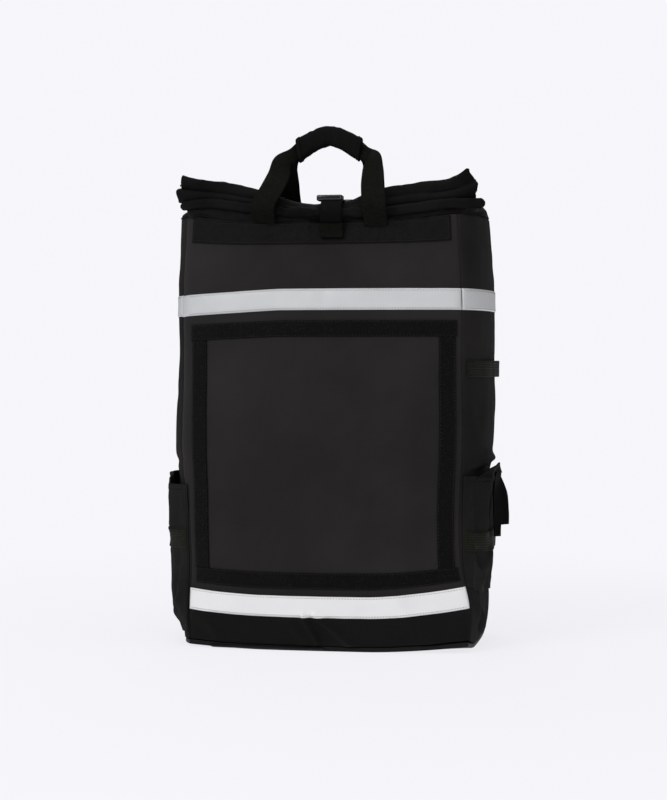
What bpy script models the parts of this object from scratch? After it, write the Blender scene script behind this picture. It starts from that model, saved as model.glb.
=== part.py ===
# Roll-top backpack: soft walls round a hollow, a rolled collar, tapes, pockets, a grab handle and straps.
# Metres, +Z up. The front faces -Y, and the origin is on the floor, under the middle of the body.

from collections import namedtuple

import bmesh
import bpy
import numpy as np

# Body, seam to seam
HALF_WIDTH = 0.167
HALF_DEPTH = 0.095
WALL_TOP = 0.510
BASE_THICKNESS = 0.006
WALL = 0.002
BACK_PADDING = 0.008
FRONT_BULGE = 0.030
SIDE_BULGE = 0.026
BACK_BULGE = 0.010
SLUMP = 0.006
RIGHT_CORNER_LIFT = 0.0122
LEFT_CORNER_LIFT = 0.0050
RIGHT_CORNER_START = 0.75
CORNER_START = 0.45
GAP = 0.0003
WALL_BOTTOM = BASE_THICKNESS + 2 * GAP
STRIP_TOP = WALL_TOP - 2 * GAP
FRONT_COLUMNS = 17
BACK_COLUMNS = 11
SIDE_COLUMNS = 9
POCKET_EDGE = 0.94

# Rolled collar
COLLAR_RISE = 0.026
ROLL_HALF_LENGTH = 0.1795
ROLL_BASE = 0.0042
ROLL_HEIGHT = 0.046
ROLL_DEPTH = 0.048
ROLL_CLOTH = 0.0022
ROLL_TURNS = 1.55
LIP_RADIUS = 0.0060
LIP_PAST_LEFT = 0.001
LIP_PAST_RIGHT = 0.0125
LIP_PRESS = 0.0013
TOP_CORNER_RISE = 0.008

# Webbing, tape and hook-and-loop strips
WEBBING = 0.0016
TAPE = 0.0006
LOOP_PILE = 0.0018
TAPE_WIDTH = 0.0255
UPPER_TAPE_Z = 0.4045
UPPER_TAPE_DROP = 0.006
LOWER_TAPE_Z = 0.0405
TOP_STRIP_WIDTH = 0.026
TOP_STRIP_HALF_LENGTH = 0.158
LOOP_TAPE_WIDTH = 0.0195
LOOP_FRAME_HALF_WIDTH = 0.160
LOOP_FRAME_BOTTOM = 0.0745
LOOP_FRAME_TOP = 0.3925
SIDE_LOOP_Z = 0.325
SIDE_LOOP_WIDTH = 0.020
SIDE_LOOP_SLACK = 0.0052
SIDE_LOOP_ENDS = (-0.95, 0.90)

# Side pockets
POCKET_BOTTOM_LEFT = 0.014
POCKET_BOTTOM_RIGHT = 0.066
POCKET_TOP = 0.206
POCKET_DEPTH_LEFT = 0.013
POCKET_DEPTH_RIGHT = 0.0062
POCKET_MOUTH_LEFT = 1.0
POCKET_MOUTH_RIGHT = 1.7
POCKET_BAND_Z = 0.1155
POCKET_BAND_WIDTH = 0.025

# Closure strap and grab handle
CLOSURE_X = 0.0133
CLOSURE_WIDTH = 0.026
CLOSURE_END_Z = 0.489
CLOSURE_REST = 0.0007
TAIL_WIDTH = 0.028
TAIL_HEIGHT = 0.016
TAIL_MARGIN = 0.002
SLIDER_WIDTH = 0.031
SLIDER_THICKNESS = 0.0055
HANDLE_WEBBING = 0.0024
HANDLE_WIDTH = 0.0285
HANDLE_FOLDED_WIDTH = 0.0175
GRIP_WALL = 0.0022
GRIP_Z = 0.6015
GRIP_ARCH = 0.018
GRIP_HALF_LENGTH = 0.039
GRIP_X = -0.002
LEG_END_Z = 0.502
REAR_LEG_END_Z = 0.492

# Shoulder straps, on the back
SHOULDER_WIDTH = 0.065
SHOULDER_PAD = 0.010
SHOULDER_STANDOFF = 0.045
SHOULDER_X = 0.062
SHOULDER_SPLAY = 0.020
SHOULDER_END_STAND = 0.8
SHOULDER_TOP = 0.480
SHOULDER_END = 0.200
LOWER_WEBBING_WIDTH = 0.025
LOWER_WEBBING_END = 0.045
LOWER_WEBBING_OVERLAP = 0.020
LOWER_WEBBING_X = 0.120

# The body's level sections. rise: share of WALL_TOP; the rest: shares of the sizes they are named for
Level = namedtuple("Level", "rise width front back front_bulge left_bulge right_bulge back_bulge slump")
LEVELS = (
    Level(0.000, 1.010, 1.060, 0.92, 0.45, 0.80, 0.10, 0.2, 1.00),
    Level(0.080, 1.020, 1.030, 0.96, 0.75, 0.95, 0.35, 0.5, 1.00),
    Level(0.160, 0.990, 1.000, 0.99, 1.00, 0.95, 0.68, 0.8, 0.40),
    Level(0.290, 0.985, 1.000, 1.00, 1.00, 0.95, 0.78, 1.0, 0.00),
    Level(0.380, 0.990, 1.000, 1.00, 0.97, 1.00, 0.79, 1.0, 0.00),
    Level(0.450, 1.000, 1.000, 1.00, 0.95, 1.12, 0.95, 1.0, 0.00),
    Level(0.650, 1.000, 1.000, 1.00, 0.90, 1.02, 1.04, 1.0, 0.00),
    Level(0.840, 0.995, 0.990, 0.98, 0.75, 1.10, 1.06, 0.8, 0.00),
    Level(1.000, 0.965, 0.960, 0.92, 0.55, 1.25, 1.05, 0.4, 0.00),
)

# Soft dents and humps of the front. across and rise: shares of the half width and of WALL_TOP, as are
# the spreads; depth: metres, negative for a hump
Dent = namedtuple("Dent", "across rise spread_across spread_rise depth")
FRONT_DENTS = (
    Dent(-0.02, 0.040, 0.10, 0.030, 0.0040),
    Dent(0.16, 0.055, 0.05, 0.040, -0.0020),
    Dent(-0.55, 0.060, 0.25, 0.035, 0.0025),
    Dent(0.62, 0.090, 0.14, 0.050, 0.0030),
    Dent(-0.72, 0.960, 0.16, 0.060, 0.0025),
    Dent(0.05, 0.940, 0.26, 0.070, 0.0040),
    Dent(0.66, 0.940, 0.18, 0.060, 0.0030),
    Dent(-0.30, 0.450, 0.45, 0.160, -0.0030),
    Dent(0.35, 0.620, 0.40, 0.120, 0.0020),
)

# The roll from its left end to its right. along: share of ROLL_HALF_LENGTH; bottom, top, lip: shares of
# ROLL_HEIGHT above its base, the last for the lip's lowest line; depth: share of ROLL_DEPTH;
# forward: share of HALF_DEPTH
RollStation = namedtuple("RollStation", "along bottom top lip depth forward")
ROLL_STATIONS = (
    RollStation(-1.00, 0.42, 1.20, 0.28, 0.50, 0.82),
    RollStation(-0.80, 0.34, 1.02, 0.32, 0.64, 0.90),
    RollStation(-0.50, 0.20, 0.76, 0.16, 0.86, 0.94),
    RollStation(-0.18, 0.03, 0.43, 0.02, 1.00, 0.96),
    RollStation(0.12, 0.00, 0.37, 0.00, 1.00, 0.96),
    RollStation(0.34, 0.02, 0.62, 0.00, 0.96, 0.95),
    RollStation(0.60, 0.12, 0.87, 0.10, 0.84, 0.92),
    RollStation(0.82, 0.24, 0.95, 0.22, 0.66, 0.87),
    RollStation(1.00, 0.34, 1.26, 0.25, 0.50, 0.80),
)

# The grab handle's loops, as routes of the webbing's middle line in metres, chosen from the
# photograph. width: 0 folded inside the grip, 1 flat; turn: degrees from +X of the webbing's width,
# downwards, seen from the front
Route = namedtuple("Route", "x y z width turn")
FRONT_LOOP = (
    Route(-0.0690, -0.1275, 0.528, 1.0, 4),
    Route(-0.0630, -0.1080, 0.552, 1.0, 8),
    Route(-0.0585, -0.0800, 0.571, 0.8, 16),
    Route(-0.0560, -0.0600, 0.588, 0.4, 36),
    Route(0.0535, -0.0600, 0.590, 0.4, 146),
    Route(0.0575, -0.0800, 0.574, 0.8, 166),
    Route(0.0615, -0.1060, 0.553, 1.0, 176),
    Route(0.0662, -0.1275, 0.528, 1.0, 180),
)
REAR_LOOP = (
    Route(-0.0685, 0.0930, 0.519, 1.0, 0),
    Route(-0.0680, 0.0640, 0.534, 1.0, 0),
    Route(-0.0660, 0.0300, 0.549, 1.0, 2),
    Route(-0.0610, 0.0010, 0.569, 0.8, 8),
    Route(-0.0545, -0.0250, 0.588, 0.4, 32),
    Route(0.0465, -0.0250, 0.590, 0.4, 150),
    Route(0.0440, 0.0010, 0.571, 0.8, 172),
    Route(0.0405, 0.0300, 0.549, 1.0, 178),
    Route(0.0395, 0.0640, 0.534, 1.0, 180),
    Route(0.0390, 0.0930, 0.519, 1.0, 180),
)
GRIP_Y = -0.0425

# The loose strap tail at the right pocket. turn: how far its width has turned from +Y towards +X
TailStation = namedtuple("TailStation", "out y z turn")
TAIL_STATIONS = (
    TailStation(0.0018, -0.006, 0.207, 0.05),
    TailStation(0.0025, -0.008, 0.197, 0.20),
    TailStation(0.0045, -0.010, 0.181, 0.38),
    TailStation(0.0055, -0.012, 0.163, 0.45),
    TailStation(0.0060, -0.012, 0.145, 0.47),
)
TAIL_BAND = 0.024
TAIL_INNER_WIDTH = 0.010
TAIL_INNER_BEHIND = 0.0045
TAIL_INNER_DROP = 0.012


def material(name, colour, roughness, metallic=0.0):
    """A plain surface in the part's colour."""
    made = bpy.data.materials.new(name)
    made.use_nodes = True
    shader = made.node_tree.nodes["Principled BSDF"]
    shader.inputs["Base Color"].default_value = (*colour, 1.0)
    shader.inputs["Roughness"].default_value = roughness
    shader.inputs["Metallic"].default_value = metallic
    made.diffuse_color = (*colour, 1.0)
    return made


def smooth_value(stops, values, at):
    """A smooth curve through the values at the stops."""
    stops = np.asarray(stops, float)
    values = np.asarray(values, float)
    at = np.clip(at, stops[0], stops[-1])
    slopes = np.gradient(values, stops)
    i = np.clip(np.searchsorted(stops, at) - 1, 0, len(stops) - 2)
    step = stops[i + 1] - stops[i]
    u = (at - stops[i]) / step
    start = (1 + 2 * u) * (1 - u) ** 2 * values[i] + u * (1 - u) ** 2 * step * slopes[i]
    end = u * u * (3 - 2 * u) * values[i + 1] + u * u * (u - 1) * step * slopes[i + 1]
    return start + end


def table_at(rows, at):
    """The table's row at a value of its first column, as another row of the same kind."""
    columns = np.array(rows, float).T
    return type(rows[0])(at, *(smooth_value(columns[0], column, at) for column in columns[1:]))


def crown(across):
    """1 in the middle of a panel, 0 at its seams, as stuffed cloth stands out."""
    return 1 - np.abs(across) ** 2.6


def corner(across, start=CORNER_START):
    """0 over most of a panel, 1 at the seam on its positive side."""
    return np.clip((across - start) / (1 - start), 0, 1) ** 1.6


def lift_fade(z):
    """How much of a bottom corner's lift is left at a height."""
    return smooth_value((0, 0.13, 0.20, 0.40, 0.70), (1, 1, 0.5, 0.15, 0), z / WALL_TOP)


def top_rise(s, z):
    """The wall tops curve up to the roll's ends at the corners."""
    fade = smooth_value((0.86, 0.93, 1.0), (0, 0.35, 1), z / WALL_TOP)
    return TOP_CORNER_RISE * fade * np.minimum(np.abs(s) / 0.96, 1) ** 4


def front_lift(s, z):
    corners = lift_fade(z) * (RIGHT_CORNER_LIFT * corner(s, RIGHT_CORNER_START) + LEFT_CORNER_LIFT * corner(-s))
    return corners + top_rise(s, z)


def dent_at(s, z):
    total = 0.0
    for dent in FRONT_DENTS:
        across = (s - dent.across) / dent.spread_across
        rise = (z / WALL_TOP - dent.rise) / dent.spread_rise
        total = total + dent.depth * np.exp(-across * across - rise * rise)
    return total * crown(s)


# Each face gives points for a place across it (s, from -1 to 1), a height, and a distance inward


def front_face(s, z, inset=0.0):
    level = table_at(LEVELS, z / WALL_TOP)
    x = SLUMP * level.slump + s * (HALF_WIDTH * level.width - inset)
    out = FRONT_BULGE * level.front_bulge * crown(s) - dent_at(s, z)
    y = inset - HALF_DEPTH * level.front - out
    return np.stack(np.broadcast_arrays(x, y, z + front_lift(s, z)), -1)


def back_face(s, z, inset=0.0):
    level = table_at(LEVELS, z / WALL_TOP)
    x = SLUMP * level.slump - s * (HALF_WIDTH * level.width - inset)
    y = HALF_DEPTH * level.back - inset + BACK_BULGE * level.back_bulge * crown(s)
    return np.stack(np.broadcast_arrays(x, y, z + top_rise(s, z)), -1)


def side_face(side):
    """The right side's face for side 1, and the left's for side -1. Its s runs from front to back."""

    def face(s, z, inset=0.0):
        level = table_at(LEVELS, z / WALL_TOP)
        bulge = level.right_bulge if side > 0 else level.left_bulge
        out = HALF_WIDTH * level.width - inset + SIDE_BULGE * bulge * crown(s)
        x = SLUMP * level.slump + side * out
        front = HALF_DEPTH * level.front - inset
        back = HALF_DEPTH * level.back - inset
        y = (back - front) / 2 + s * (back + front) / 2
        lift = RIGHT_CORNER_LIFT if side > 0 else LEFT_CORNER_LIFT
        lifted = z + lift * lift_fade(z) * corner(-s) + top_rise(1.0, z)
        return np.stack(np.broadcast_arrays(x, y, lifted), -1)

    return face


def mesh_object(name, surface, vertices, faces):
    mesh = bpy.data.meshes.new(name)
    mesh.from_pydata([tuple(v) for v in vertices], [], faces)
    work = bmesh.new()
    work.from_mesh(mesh)
    bmesh.ops.recalc_face_normals(work, faces=work.faces)
    work.to_mesh(mesh)
    work.free()
    mesh.shade_smooth()
    mesh.set_sharp_from_angle(angle=np.radians(50))
    mesh.materials.append(surface)
    made = bpy.data.objects.new(name, mesh)
    bpy.context.collection.objects.link(made)
    return made


def sheet(name, surface, outer, inner, round_sleeve=False):
    """A closed sheet between two grids of points. A sleeve's columns meet, so it has no side edges."""
    rows, columns = outer.shape[:2]
    vertices = np.concatenate([outer.reshape(-1, 3), inner.reshape(-1, 3)])
    below = rows * columns
    faces = []
    for i in range(rows - 1):
        for j in range(columns if round_sleeve else columns - 1):
            k = (j + 1) % columns
            a, b = i * columns + j, i * columns + k
            c, d = b + columns, a + columns
            faces.append([a, b, c, d])
            faces.append([below + a, below + d, below + c, below + b])
    top = (rows - 1) * columns
    rim = [(j, (j + 1) % columns) for j in range(columns if round_sleeve else columns - 1)]
    rim += [(top + (j + 1) % columns, top + j) for j in range(columns if round_sleeve else columns - 1)]
    if not round_sleeve:
        rim += [((i + 1) * columns, i * columns) for i in range(rows - 1)]
        rim += [(i * columns + columns - 1, (i + 1) * columns + columns - 1) for i in range(rows - 1)]
    faces += [[b, a, below + a, below + b] for a, b in rim]
    return mesh_object(name, surface, vertices, faces)


def patch(name, surface, face, across, heights, low, high, steps):
    """A sheet that follows a face. low and high: how far its two sides stand out from it. across and
    heights: the two ends of each, where heights may be functions of the place across."""
    s = np.linspace(across[0], across[1], steps[0])[None, :]
    share = np.linspace(0, 1, steps[1])[:, None]
    bottom, top = (end(s) if callable(end) else np.full_like(s, end) for end in heights)
    z = bottom + share * (top - bottom)
    s = np.broadcast_to(s, z.shape)
    return sheet(name, surface, face(s, z, -high), face(s, z, -low))


def wall_heights():
    """The walls' rows. They also run along the edges of what is sewn to them, so that those lie flat."""
    edges = [UPPER_TAPE_Z, UPPER_TAPE_Z + TAPE_WIDTH, LOWER_TAPE_Z, LOWER_TAPE_Z + TAPE_WIDTH]
    edges += [STRIP_TOP - TOP_STRIP_WIDTH, STRIP_TOP, LOOP_FRAME_BOTTOM, LOOP_FRAME_TOP]
    edges += [LOOP_FRAME_BOTTOM + LOOP_TAPE_WIDTH, LOOP_FRAME_TOP - LOOP_TAPE_WIDTH]
    edges += [POCKET_BAND_Z, POCKET_BAND_Z + POCKET_BAND_WIDTH, POCKET_TOP]
    spaced = np.linspace(WALL_BOTTOM, WALL_TOP, 12)
    spaced = [z for z in spaced[1:-1] if min(abs(z - edge) for edge in edges) > TAPE_WIDTH / 2]
    return np.array(sorted({WALL_BOTTOM, *spaced, *edges, WALL_TOP}))


def wall(name, surface, face, columns, half, thickness):
    """A whole wall of the body, its ends a gap inside its seams. half: half of its width."""
    s, z = np.meshgrid((1 - GAP / half) * np.linspace(-1, 1, columns), wall_heights())
    return sheet(name, surface, face(s, z, 0), face(s, z, thickness))


def walls():
    wall("front_panel", CLOTH, front_face, FRONT_COLUMNS, HALF_WIDTH, WALL)
    wall("back_panel", BACK_CLOTH, back_face, BACK_COLUMNS, HALF_WIDTH, BACK_PADDING)
    wall("side_panel_right", CLOTH, side_face(1), SIDE_COLUMNS, HALF_DEPTH, WALL)
    wall("side_panel_left", CLOTH, side_face(-1), SIDE_COLUMNS, HALF_DEPTH, WALL)


def footprint(s, t, z):
    """The point of the body's level section at shares across it and from its front to its back."""
    level = table_at(LEVELS, z / WALL_TOP)
    side_bulge = np.where(s < 0, level.left_bulge, level.right_bulge)
    x = SLUMP * level.slump + s * (HALF_WIDTH * level.width + SIDE_BULGE * side_bulge * crown(t))
    bulge = np.where(t < 0, FRONT_BULGE * level.front_bulge, BACK_BULGE * level.back_bulge)
    reach = np.where(t < 0, HALF_DEPTH * level.front, HALF_DEPTH * level.back)
    y = t * (reach + bulge * crown(s))
    return np.stack(np.broadcast_arrays(x, y, z), -1)


def base():
    s = np.linspace(-1, 1, FRONT_COLUMNS)[None, :]
    t = np.linspace(-1, 1, SIDE_COLUMNS)[:, None]
    under = footprint(s, t, 0.0)
    lift = RIGHT_CORNER_LIFT * corner(s, RIGHT_CORNER_START) + LEFT_CORNER_LIFT * corner(-s)
    under[..., 2] += lift * corner(-t)
    over = under.copy()
    over[..., 2] += BASE_THICKNESS
    sheet("base_panel", BASE_CLOTH, under, over)


def collar_height(s, t):
    """The folded collar's rise over the wall tops: up to the roll's underside in front, a ridge behind."""
    shoulder = (1 - np.abs(s) ** 8) ** 0.5
    _, middle_z, _, half_height, _ = roll_frame(s * HALF_WIDTH)
    seat = WALL_TOP + 2 * GAP + WALL + top_rise(s, WALL_TOP)
    under_roll = np.maximum(middle_z - half_height - 2 * GAP - seat, 0)
    front = np.interp(t, (-1, -0.95, -0.86, -0.72, -0.58, -0.35, -0.10), (0, 0.5, 0.8, 1, 1, 0.55, 0))
    rear = np.interp(t, (-0.60, -0.35, -0.10, 0.10, 0.50, 1), (0, 0.45, 0.95, 1, 0.62, 0))
    return shoulder * (under_roll * front + COLLAR_RISE * rear)


def top_collar():
    s = np.linspace(-1, 1, FRONT_COLUMNS)
    s = np.array(sorted([*s, -0.975, 0.975]))[None, :]
    t = np.array((-1, -0.95, -0.86, -0.72, -0.58, -0.35, -0.10, 0.15, 0.50, 0.78, 1))[:, None]
    over = footprint(s * (1 - GAP / HALF_WIDTH), t, WALL_TOP)
    over[..., 2] += 2 * GAP + WALL + collar_height(s, t) + top_rise(s, WALL_TOP)
    under = over.copy()
    under[..., 2] -= WALL
    sheet("top_collar", CLOTH, over, under)


def roll_frame(x):
    """The roll at a place along it: (middle y, middle z, half depth, half height, the lip's middle z)."""
    station = table_at(ROLL_STATIONS, x / ROLL_HALF_LENGTH)
    foot = WALL_TOP + ROLL_BASE
    bottom = foot + ROLL_HEIGHT * station.bottom
    top = foot + ROLL_HEIGHT * station.top
    half_depth = ROLL_DEPTH * station.depth / 2
    bow = crown(np.clip(x / ROLL_HALF_LENGTH, -1, 1))
    front = -HALF_DEPTH * station.forward - FRONT_BULGE * 0.55 * bow
    lip_z = foot + ROLL_HEIGHT * station.lip + LIP_RADIUS
    return front + half_depth, (bottom + top) / 2, half_depth, (top - bottom) / 2, lip_z


def roll_top():
    """A doubled cloth that goes up behind, over the top and down the front, and winds inwards."""
    x = np.linspace(-ROLL_HALF_LENGTH, ROLL_HALF_LENGTH, 15)[:, None]
    wind = np.linspace(0, 1, 20)[None, :]
    angle = -np.pi / 2 + 2 * np.pi * ROLL_TURNS * wind
    reach = np.interp(wind, (0, 0.46, 0.64, 1), (1, 1, 0.60, 0.40))
    middle_y, middle_z, half_depth, half_height, _ = roll_frame(x)
    sides = []
    for cloth in (0.0, ROLL_CLOTH):
        y = middle_y + (half_depth * reach - cloth) * np.cos(angle)
        z = middle_z + (half_height * reach - cloth) * np.sin(angle)
        sides.append(np.stack(np.broadcast_arrays(x, y, z), -1))
    sheet("roll_top", CLOTH, sides[0], sides[1])


def lip_middle(x):
    """The middle of the lip's round section, seated against the roll's front: (y, z)."""
    middle_y, middle_z, half_depth, half_height, lip_z = roll_frame(x)
    out = LIP_RADIUS + GAP - LIP_PRESS
    rise = np.clip((lip_z - middle_z) / (half_height + out), -1, 1)
    return middle_y - (half_depth + out) * np.sqrt(1 - rise * rise), lip_z


def roll_lip():
    """The hem along the roll's lower front, as a round tube."""
    x = np.linspace(-ROLL_HALF_LENGTH - LIP_PAST_LEFT, ROLL_HALF_LENGTH + LIP_PAST_RIGHT, 19)
    y, z = lip_middle(x)
    tube("roll_lip", CLOTH, np.stack([x, y, z], -1), LIP_RADIUS)


def tube(name, surface, route, radius):
    curve = bpy.data.curves.new(name, "CURVE")
    curve.dimensions = "3D"
    curve.bevel_depth = radius
    curve.bevel_resolution = 2
    curve.use_fill_caps = True
    spline = curve.splines.new("POLY")
    spline.points.add(len(route) - 1)
    for point, place in zip(spline.points, route):
        point.co = (*place, 1.0)
    curve.materials.append(surface)
    made = bpy.data.objects.new(name, curve)
    bpy.context.collection.objects.link(made)
    return made


def tapes():
    seam = 1 - 3 * GAP / HALF_WIDTH
    side_seam = 1 - 3 * GAP / HALF_DEPTH
    low, high = 2 * GAP, 2 * GAP + TAPE

    def upper_drop(s):
        return -UPPER_TAPE_DROP * np.clip(-s - 0.3, 0, 1) / 0.7

    patch(
        "reflective_tape_upper", SILVER, front_face, (-seam, seam),
        (lambda s: UPPER_TAPE_Z + upper_drop(s), lambda s: UPPER_TAPE_Z + TAPE_WIDTH + upper_drop(s)),
        low, high, (FRONT_COLUMNS, 2),
    )
    patch(
        "reflective_tape_upper_right", SILVER, side_face(1), (-side_seam, side_seam),
        (UPPER_TAPE_Z, UPPER_TAPE_Z + TAPE_WIDTH), low, high, (9, 2),
    )
    left_z = UPPER_TAPE_Z + upper_drop(-1)
    patch(
        "reflective_tape_upper_left", SILVER, side_face(-1), (-side_seam, side_seam),
        (left_z, left_z + TAPE_WIDTH), low, high, (9, 2),
    )
    patch(
        "reflective_tape_lower", WHITE, front_face, (-seam, seam),
        (LOWER_TAPE_Z, LOWER_TAPE_Z + TAPE_WIDTH), low, high, (FRONT_COLUMNS, 2),
    )
    half = TOP_STRIP_HALF_LENGTH / HALF_WIDTH
    patch(
        "top_strip", LOOP, front_face, (-half, half),
        (STRIP_TOP - TOP_STRIP_WIDTH, STRIP_TOP), low, GAP + WEBBING, (FRONT_COLUMNS, 2),
    )


def loop_frame():
    """Four strips of hook-and-loop pile round a rectangle. The upright ones fit between the level ones."""
    outer = LOOP_FRAME_HALF_WIDTH / HALF_WIDTH
    inner = outer - LOOP_TAPE_WIDTH / HALF_WIDTH
    bottom = LOOP_FRAME_BOTTOM + LOOP_TAPE_WIDTH + GAP
    top = LOOP_FRAME_TOP - LOOP_TAPE_WIDTH - GAP
    out = (GAP, GAP + LOOP_PILE)
    patch(
        "loop_tape_top", LOOP, front_face, (-outer - 0.01, outer + 0.01),
        (LOOP_FRAME_TOP - LOOP_TAPE_WIDTH, LOOP_FRAME_TOP), *out, (FRONT_COLUMNS, 2),
    )
    patch(
        "loop_tape_bottom", LOOP, front_face, (-outer + 0.03, outer - 0.005),
        (LOOP_FRAME_BOTTOM, LOOP_FRAME_BOTTOM + LOOP_TAPE_WIDTH), *out, (FRONT_COLUMNS, 2),
    )
    patch("loop_tape_right", LOOP, front_face, (inner, outer), (bottom, top), *out, (3, 13))
    patch("loop_tape_left", LOOP, front_face, (-outer, -inner), (bottom, top), *out, (3, 13))


def pocket_bottom(side):
    return POCKET_BOTTOM_RIGHT if side > 0 else POCKET_BOTTOM_LEFT


def pocket_face(side):
    """The pocket's outer surface as a face of its own: the side panel, with the pocket's bulge."""
    wall = side_face(side)
    depth = POCKET_DEPTH_RIGHT if side > 0 else POCKET_DEPTH_LEFT
    bottom = pocket_bottom(side)
    mouth = POCKET_MOUTH_RIGHT if side > 0 else POCKET_MOUTH_LEFT

    def face(s, z, inset=0.0):
        rise = np.clip((z - bottom) / (POCKET_TOP - bottom), 0, 1)
        swell = smooth_value((0, 0.18, 0.55, 0.80, 1), (0, 0.62, 1, 1.08, mouth), rise)
        out = GAP + WALL + depth * swell * (1 - np.abs(s / POCKET_EDGE) ** 4).clip(0, 1)
        points = wall(s, z, 0.0)
        points[..., 0] += side * (out - inset)
        return points

    return face


def pockets():
    """A pocket and its band on each side. A pocket's rows and columns are the wall's own."""
    columns = np.linspace(-1, 1, SIDE_COLUMNS)
    columns = [s for s in columns if abs(s) < POCKET_EDGE]
    columns = np.array([-POCKET_EDGE, *columns, POCKET_EDGE])
    for side, word in ((1, "right"), (-1, "left")):
        face = pocket_face(side)
        bottom = pocket_bottom(side)
        rows = [z for z in wall_heights() if bottom + 0.004 < z < POCKET_TOP - 0.004]
        s, z = np.meshgrid(columns, [bottom, *rows, POCKET_TOP])
        sheet(f"side_pocket_{word}", CLOTH, face(s, z, 0), face(s, z, WALL))
        s, z = np.meshgrid(columns, [POCKET_BAND_Z, POCKET_BAND_Z + POCKET_BAND_WIDTH])
        sheet(f"pocket_webbing_{word}", WEB, face(s, z, -2 * GAP - WEBBING), face(s, z, -2 * GAP))


def side_loop():
    """A webbing loop across the right side, sewn at both ends and slack between them."""
    s = np.linspace(*SIDE_LOOP_ENDS, 15)[None, :]
    z = SIDE_LOOP_Z + SIDE_LOOP_WIDTH * np.linspace(0, 1, 3)[:, None]
    stops = (SIDE_LOOP_ENDS[0], -0.5, 0, 0.6, SIDE_LOOP_ENDS[1])
    slack = GAP + SIDE_LOOP_SLACK * smooth_value(stops, (0, 0.4, 0.6, 1, 0), s)
    s, z, slack = np.broadcast_arrays(s, z, slack)
    face = side_face(1)
    inner = face(s, z, 0.0)
    inner[..., 0] += slack
    outer = inner.copy()
    outer[..., 0] += WEBBING
    sheet("side_loop_right", WEB, outer, inner)


def side_tail():
    """The loose end of webbing at the right pocket's mouth, and the narrow end behind it."""
    face = pocket_face(1)
    for name, width, behind, share in (
        ("side_tail_right", TAIL_BAND, 0.0, (0.0, 1.0)),
        ("side_tail_inner_right", TAIL_INNER_WIDTH, TAIL_INNER_BEHIND, (0.45, 1.30)),
    ):
        rows = len(TAIL_STATIONS)
        along = np.linspace(share[0] * (rows - 1), share[1] * (rows - 1), 9)
        table = np.array(TAIL_STATIONS, float)
        inside = np.clip(along, 0, rows - 1)
        out, y, z, turn = (smooth_value(range(rows), table[:, c], inside) for c in range(4))
        z = z - (along - inside) * TAIL_INNER_DROP
        angle = turn * np.pi / 2
        mouth = face(np.array(0.0), np.array(POCKET_TOP), 0.0)[0]
        middle = np.stack([mouth + out, y + behind, z], -1)
        across = np.stack([np.sin(angle), np.cos(angle), np.zeros_like(angle)], -1)
        normal = np.stack([np.cos(angle), -np.sin(angle), np.zeros_like(angle)], -1)
        ribbon(name, WEB, middle, across, normal, np.full(len(along), width), WEBBING)


def ribbon(name, surface, middle, across, normal, widths, thickness, columns=2):
    """A flat strap along a line of points, with its own direction of width at each."""
    steps = np.linspace(-0.5, 0.5, columns)[None, :, None]
    grid = middle[:, None, :] + across[:, None, :] * widths[:, None, None] * steps
    half = normal[:, None, :] * thickness / 2
    return sheet(name, surface, grid + half, grid - half)


def loop_line(route, ends, side):
    """The middle line of a handle loop: up one leg, through the grip's arch and down the other leg.
    ends: the two sewn feet; side: -1 in front, 1 behind, within the grip."""
    half = len(route) // 2
    arch = []
    for share in np.linspace(-1.08, 1.08, 9):
        lift = GRIP_ARCH * (1 - share * share)
        y = GRIP_Y + side * (HANDLE_WEBBING / 2 + 3 * GAP)
        slope = -2 * GRIP_ARCH * share / GRIP_HALF_LENGTH
        turn = 90 - np.degrees(np.arctan(slope))
        arch.append(Route(GRIP_X + share * GRIP_HALF_LENGTH, y, GRIP_Z + lift, 0.0, turn))
    points = np.array([ends[0], *route[:half], *arch, *route[half:], ends[1]], float)
    lengths = np.linalg.norm(np.diff(points[:, :3], axis=0), axis=1)
    run = np.concatenate([[0], np.cumsum(lengths)])
    at = np.linspace(0, run[-1], 41)
    return np.stack([smooth_value(run, points[:, c], at) for c in range(5)], -1)


def handle():
    strap_out = GAP + WEBBING + GAP + HANDLE_WEBBING / 2
    feet = []
    for x in (FRONT_LOOP[0].x, FRONT_LOOP[-1].x):
        foot = front_face(np.array(x / HALF_WIDTH), np.array(LEG_END_Z), -strap_out)
        feet.append(Route(x, foot[1], LEG_END_Z, 1.0, 0 if x < 0 else 180))
    rear_feet = []
    for x in (REAR_LOOP[0].x, REAR_LOOP[-1].x):
        foot = back_face(np.array(-x / HALF_WIDTH), np.array(REAR_LEG_END_Z), -2 * GAP - HANDLE_WEBBING / 2)
        rear_feet.append(Route(x, foot[1], REAR_LEG_END_Z, 1.0, 0 if x < 0 else 180))
    for name, route, ends, side in (
        ("handle_front_strap", FRONT_LOOP, feet, -1),
        ("handle_rear_strap", REAR_LOOP, rear_feet, 1),
    ):
        line = loop_line(route, ends, side)
        middle = line[:, :3]
        forward = np.gradient(middle, axis=0)
        forward /= np.linalg.norm(forward, axis=1)[:, None]
        turn = np.radians(line[:, 4])
        across = np.stack([np.cos(turn), np.zeros_like(turn), -np.sin(turn)], -1)
        across -= forward * (across * forward).sum(1)[:, None]
        across /= np.linalg.norm(across, axis=1)[:, None]
        normal = np.cross(across, forward)
        flat = np.clip(line[:, 3], 0, 1)
        widths = HANDLE_FOLDED_WIDTH + (HANDLE_WIDTH - HANDLE_FOLDED_WIDTH) * flat
        ribbon(name, WEB, middle, across, normal, widths, HANDLE_WEBBING)


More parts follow.
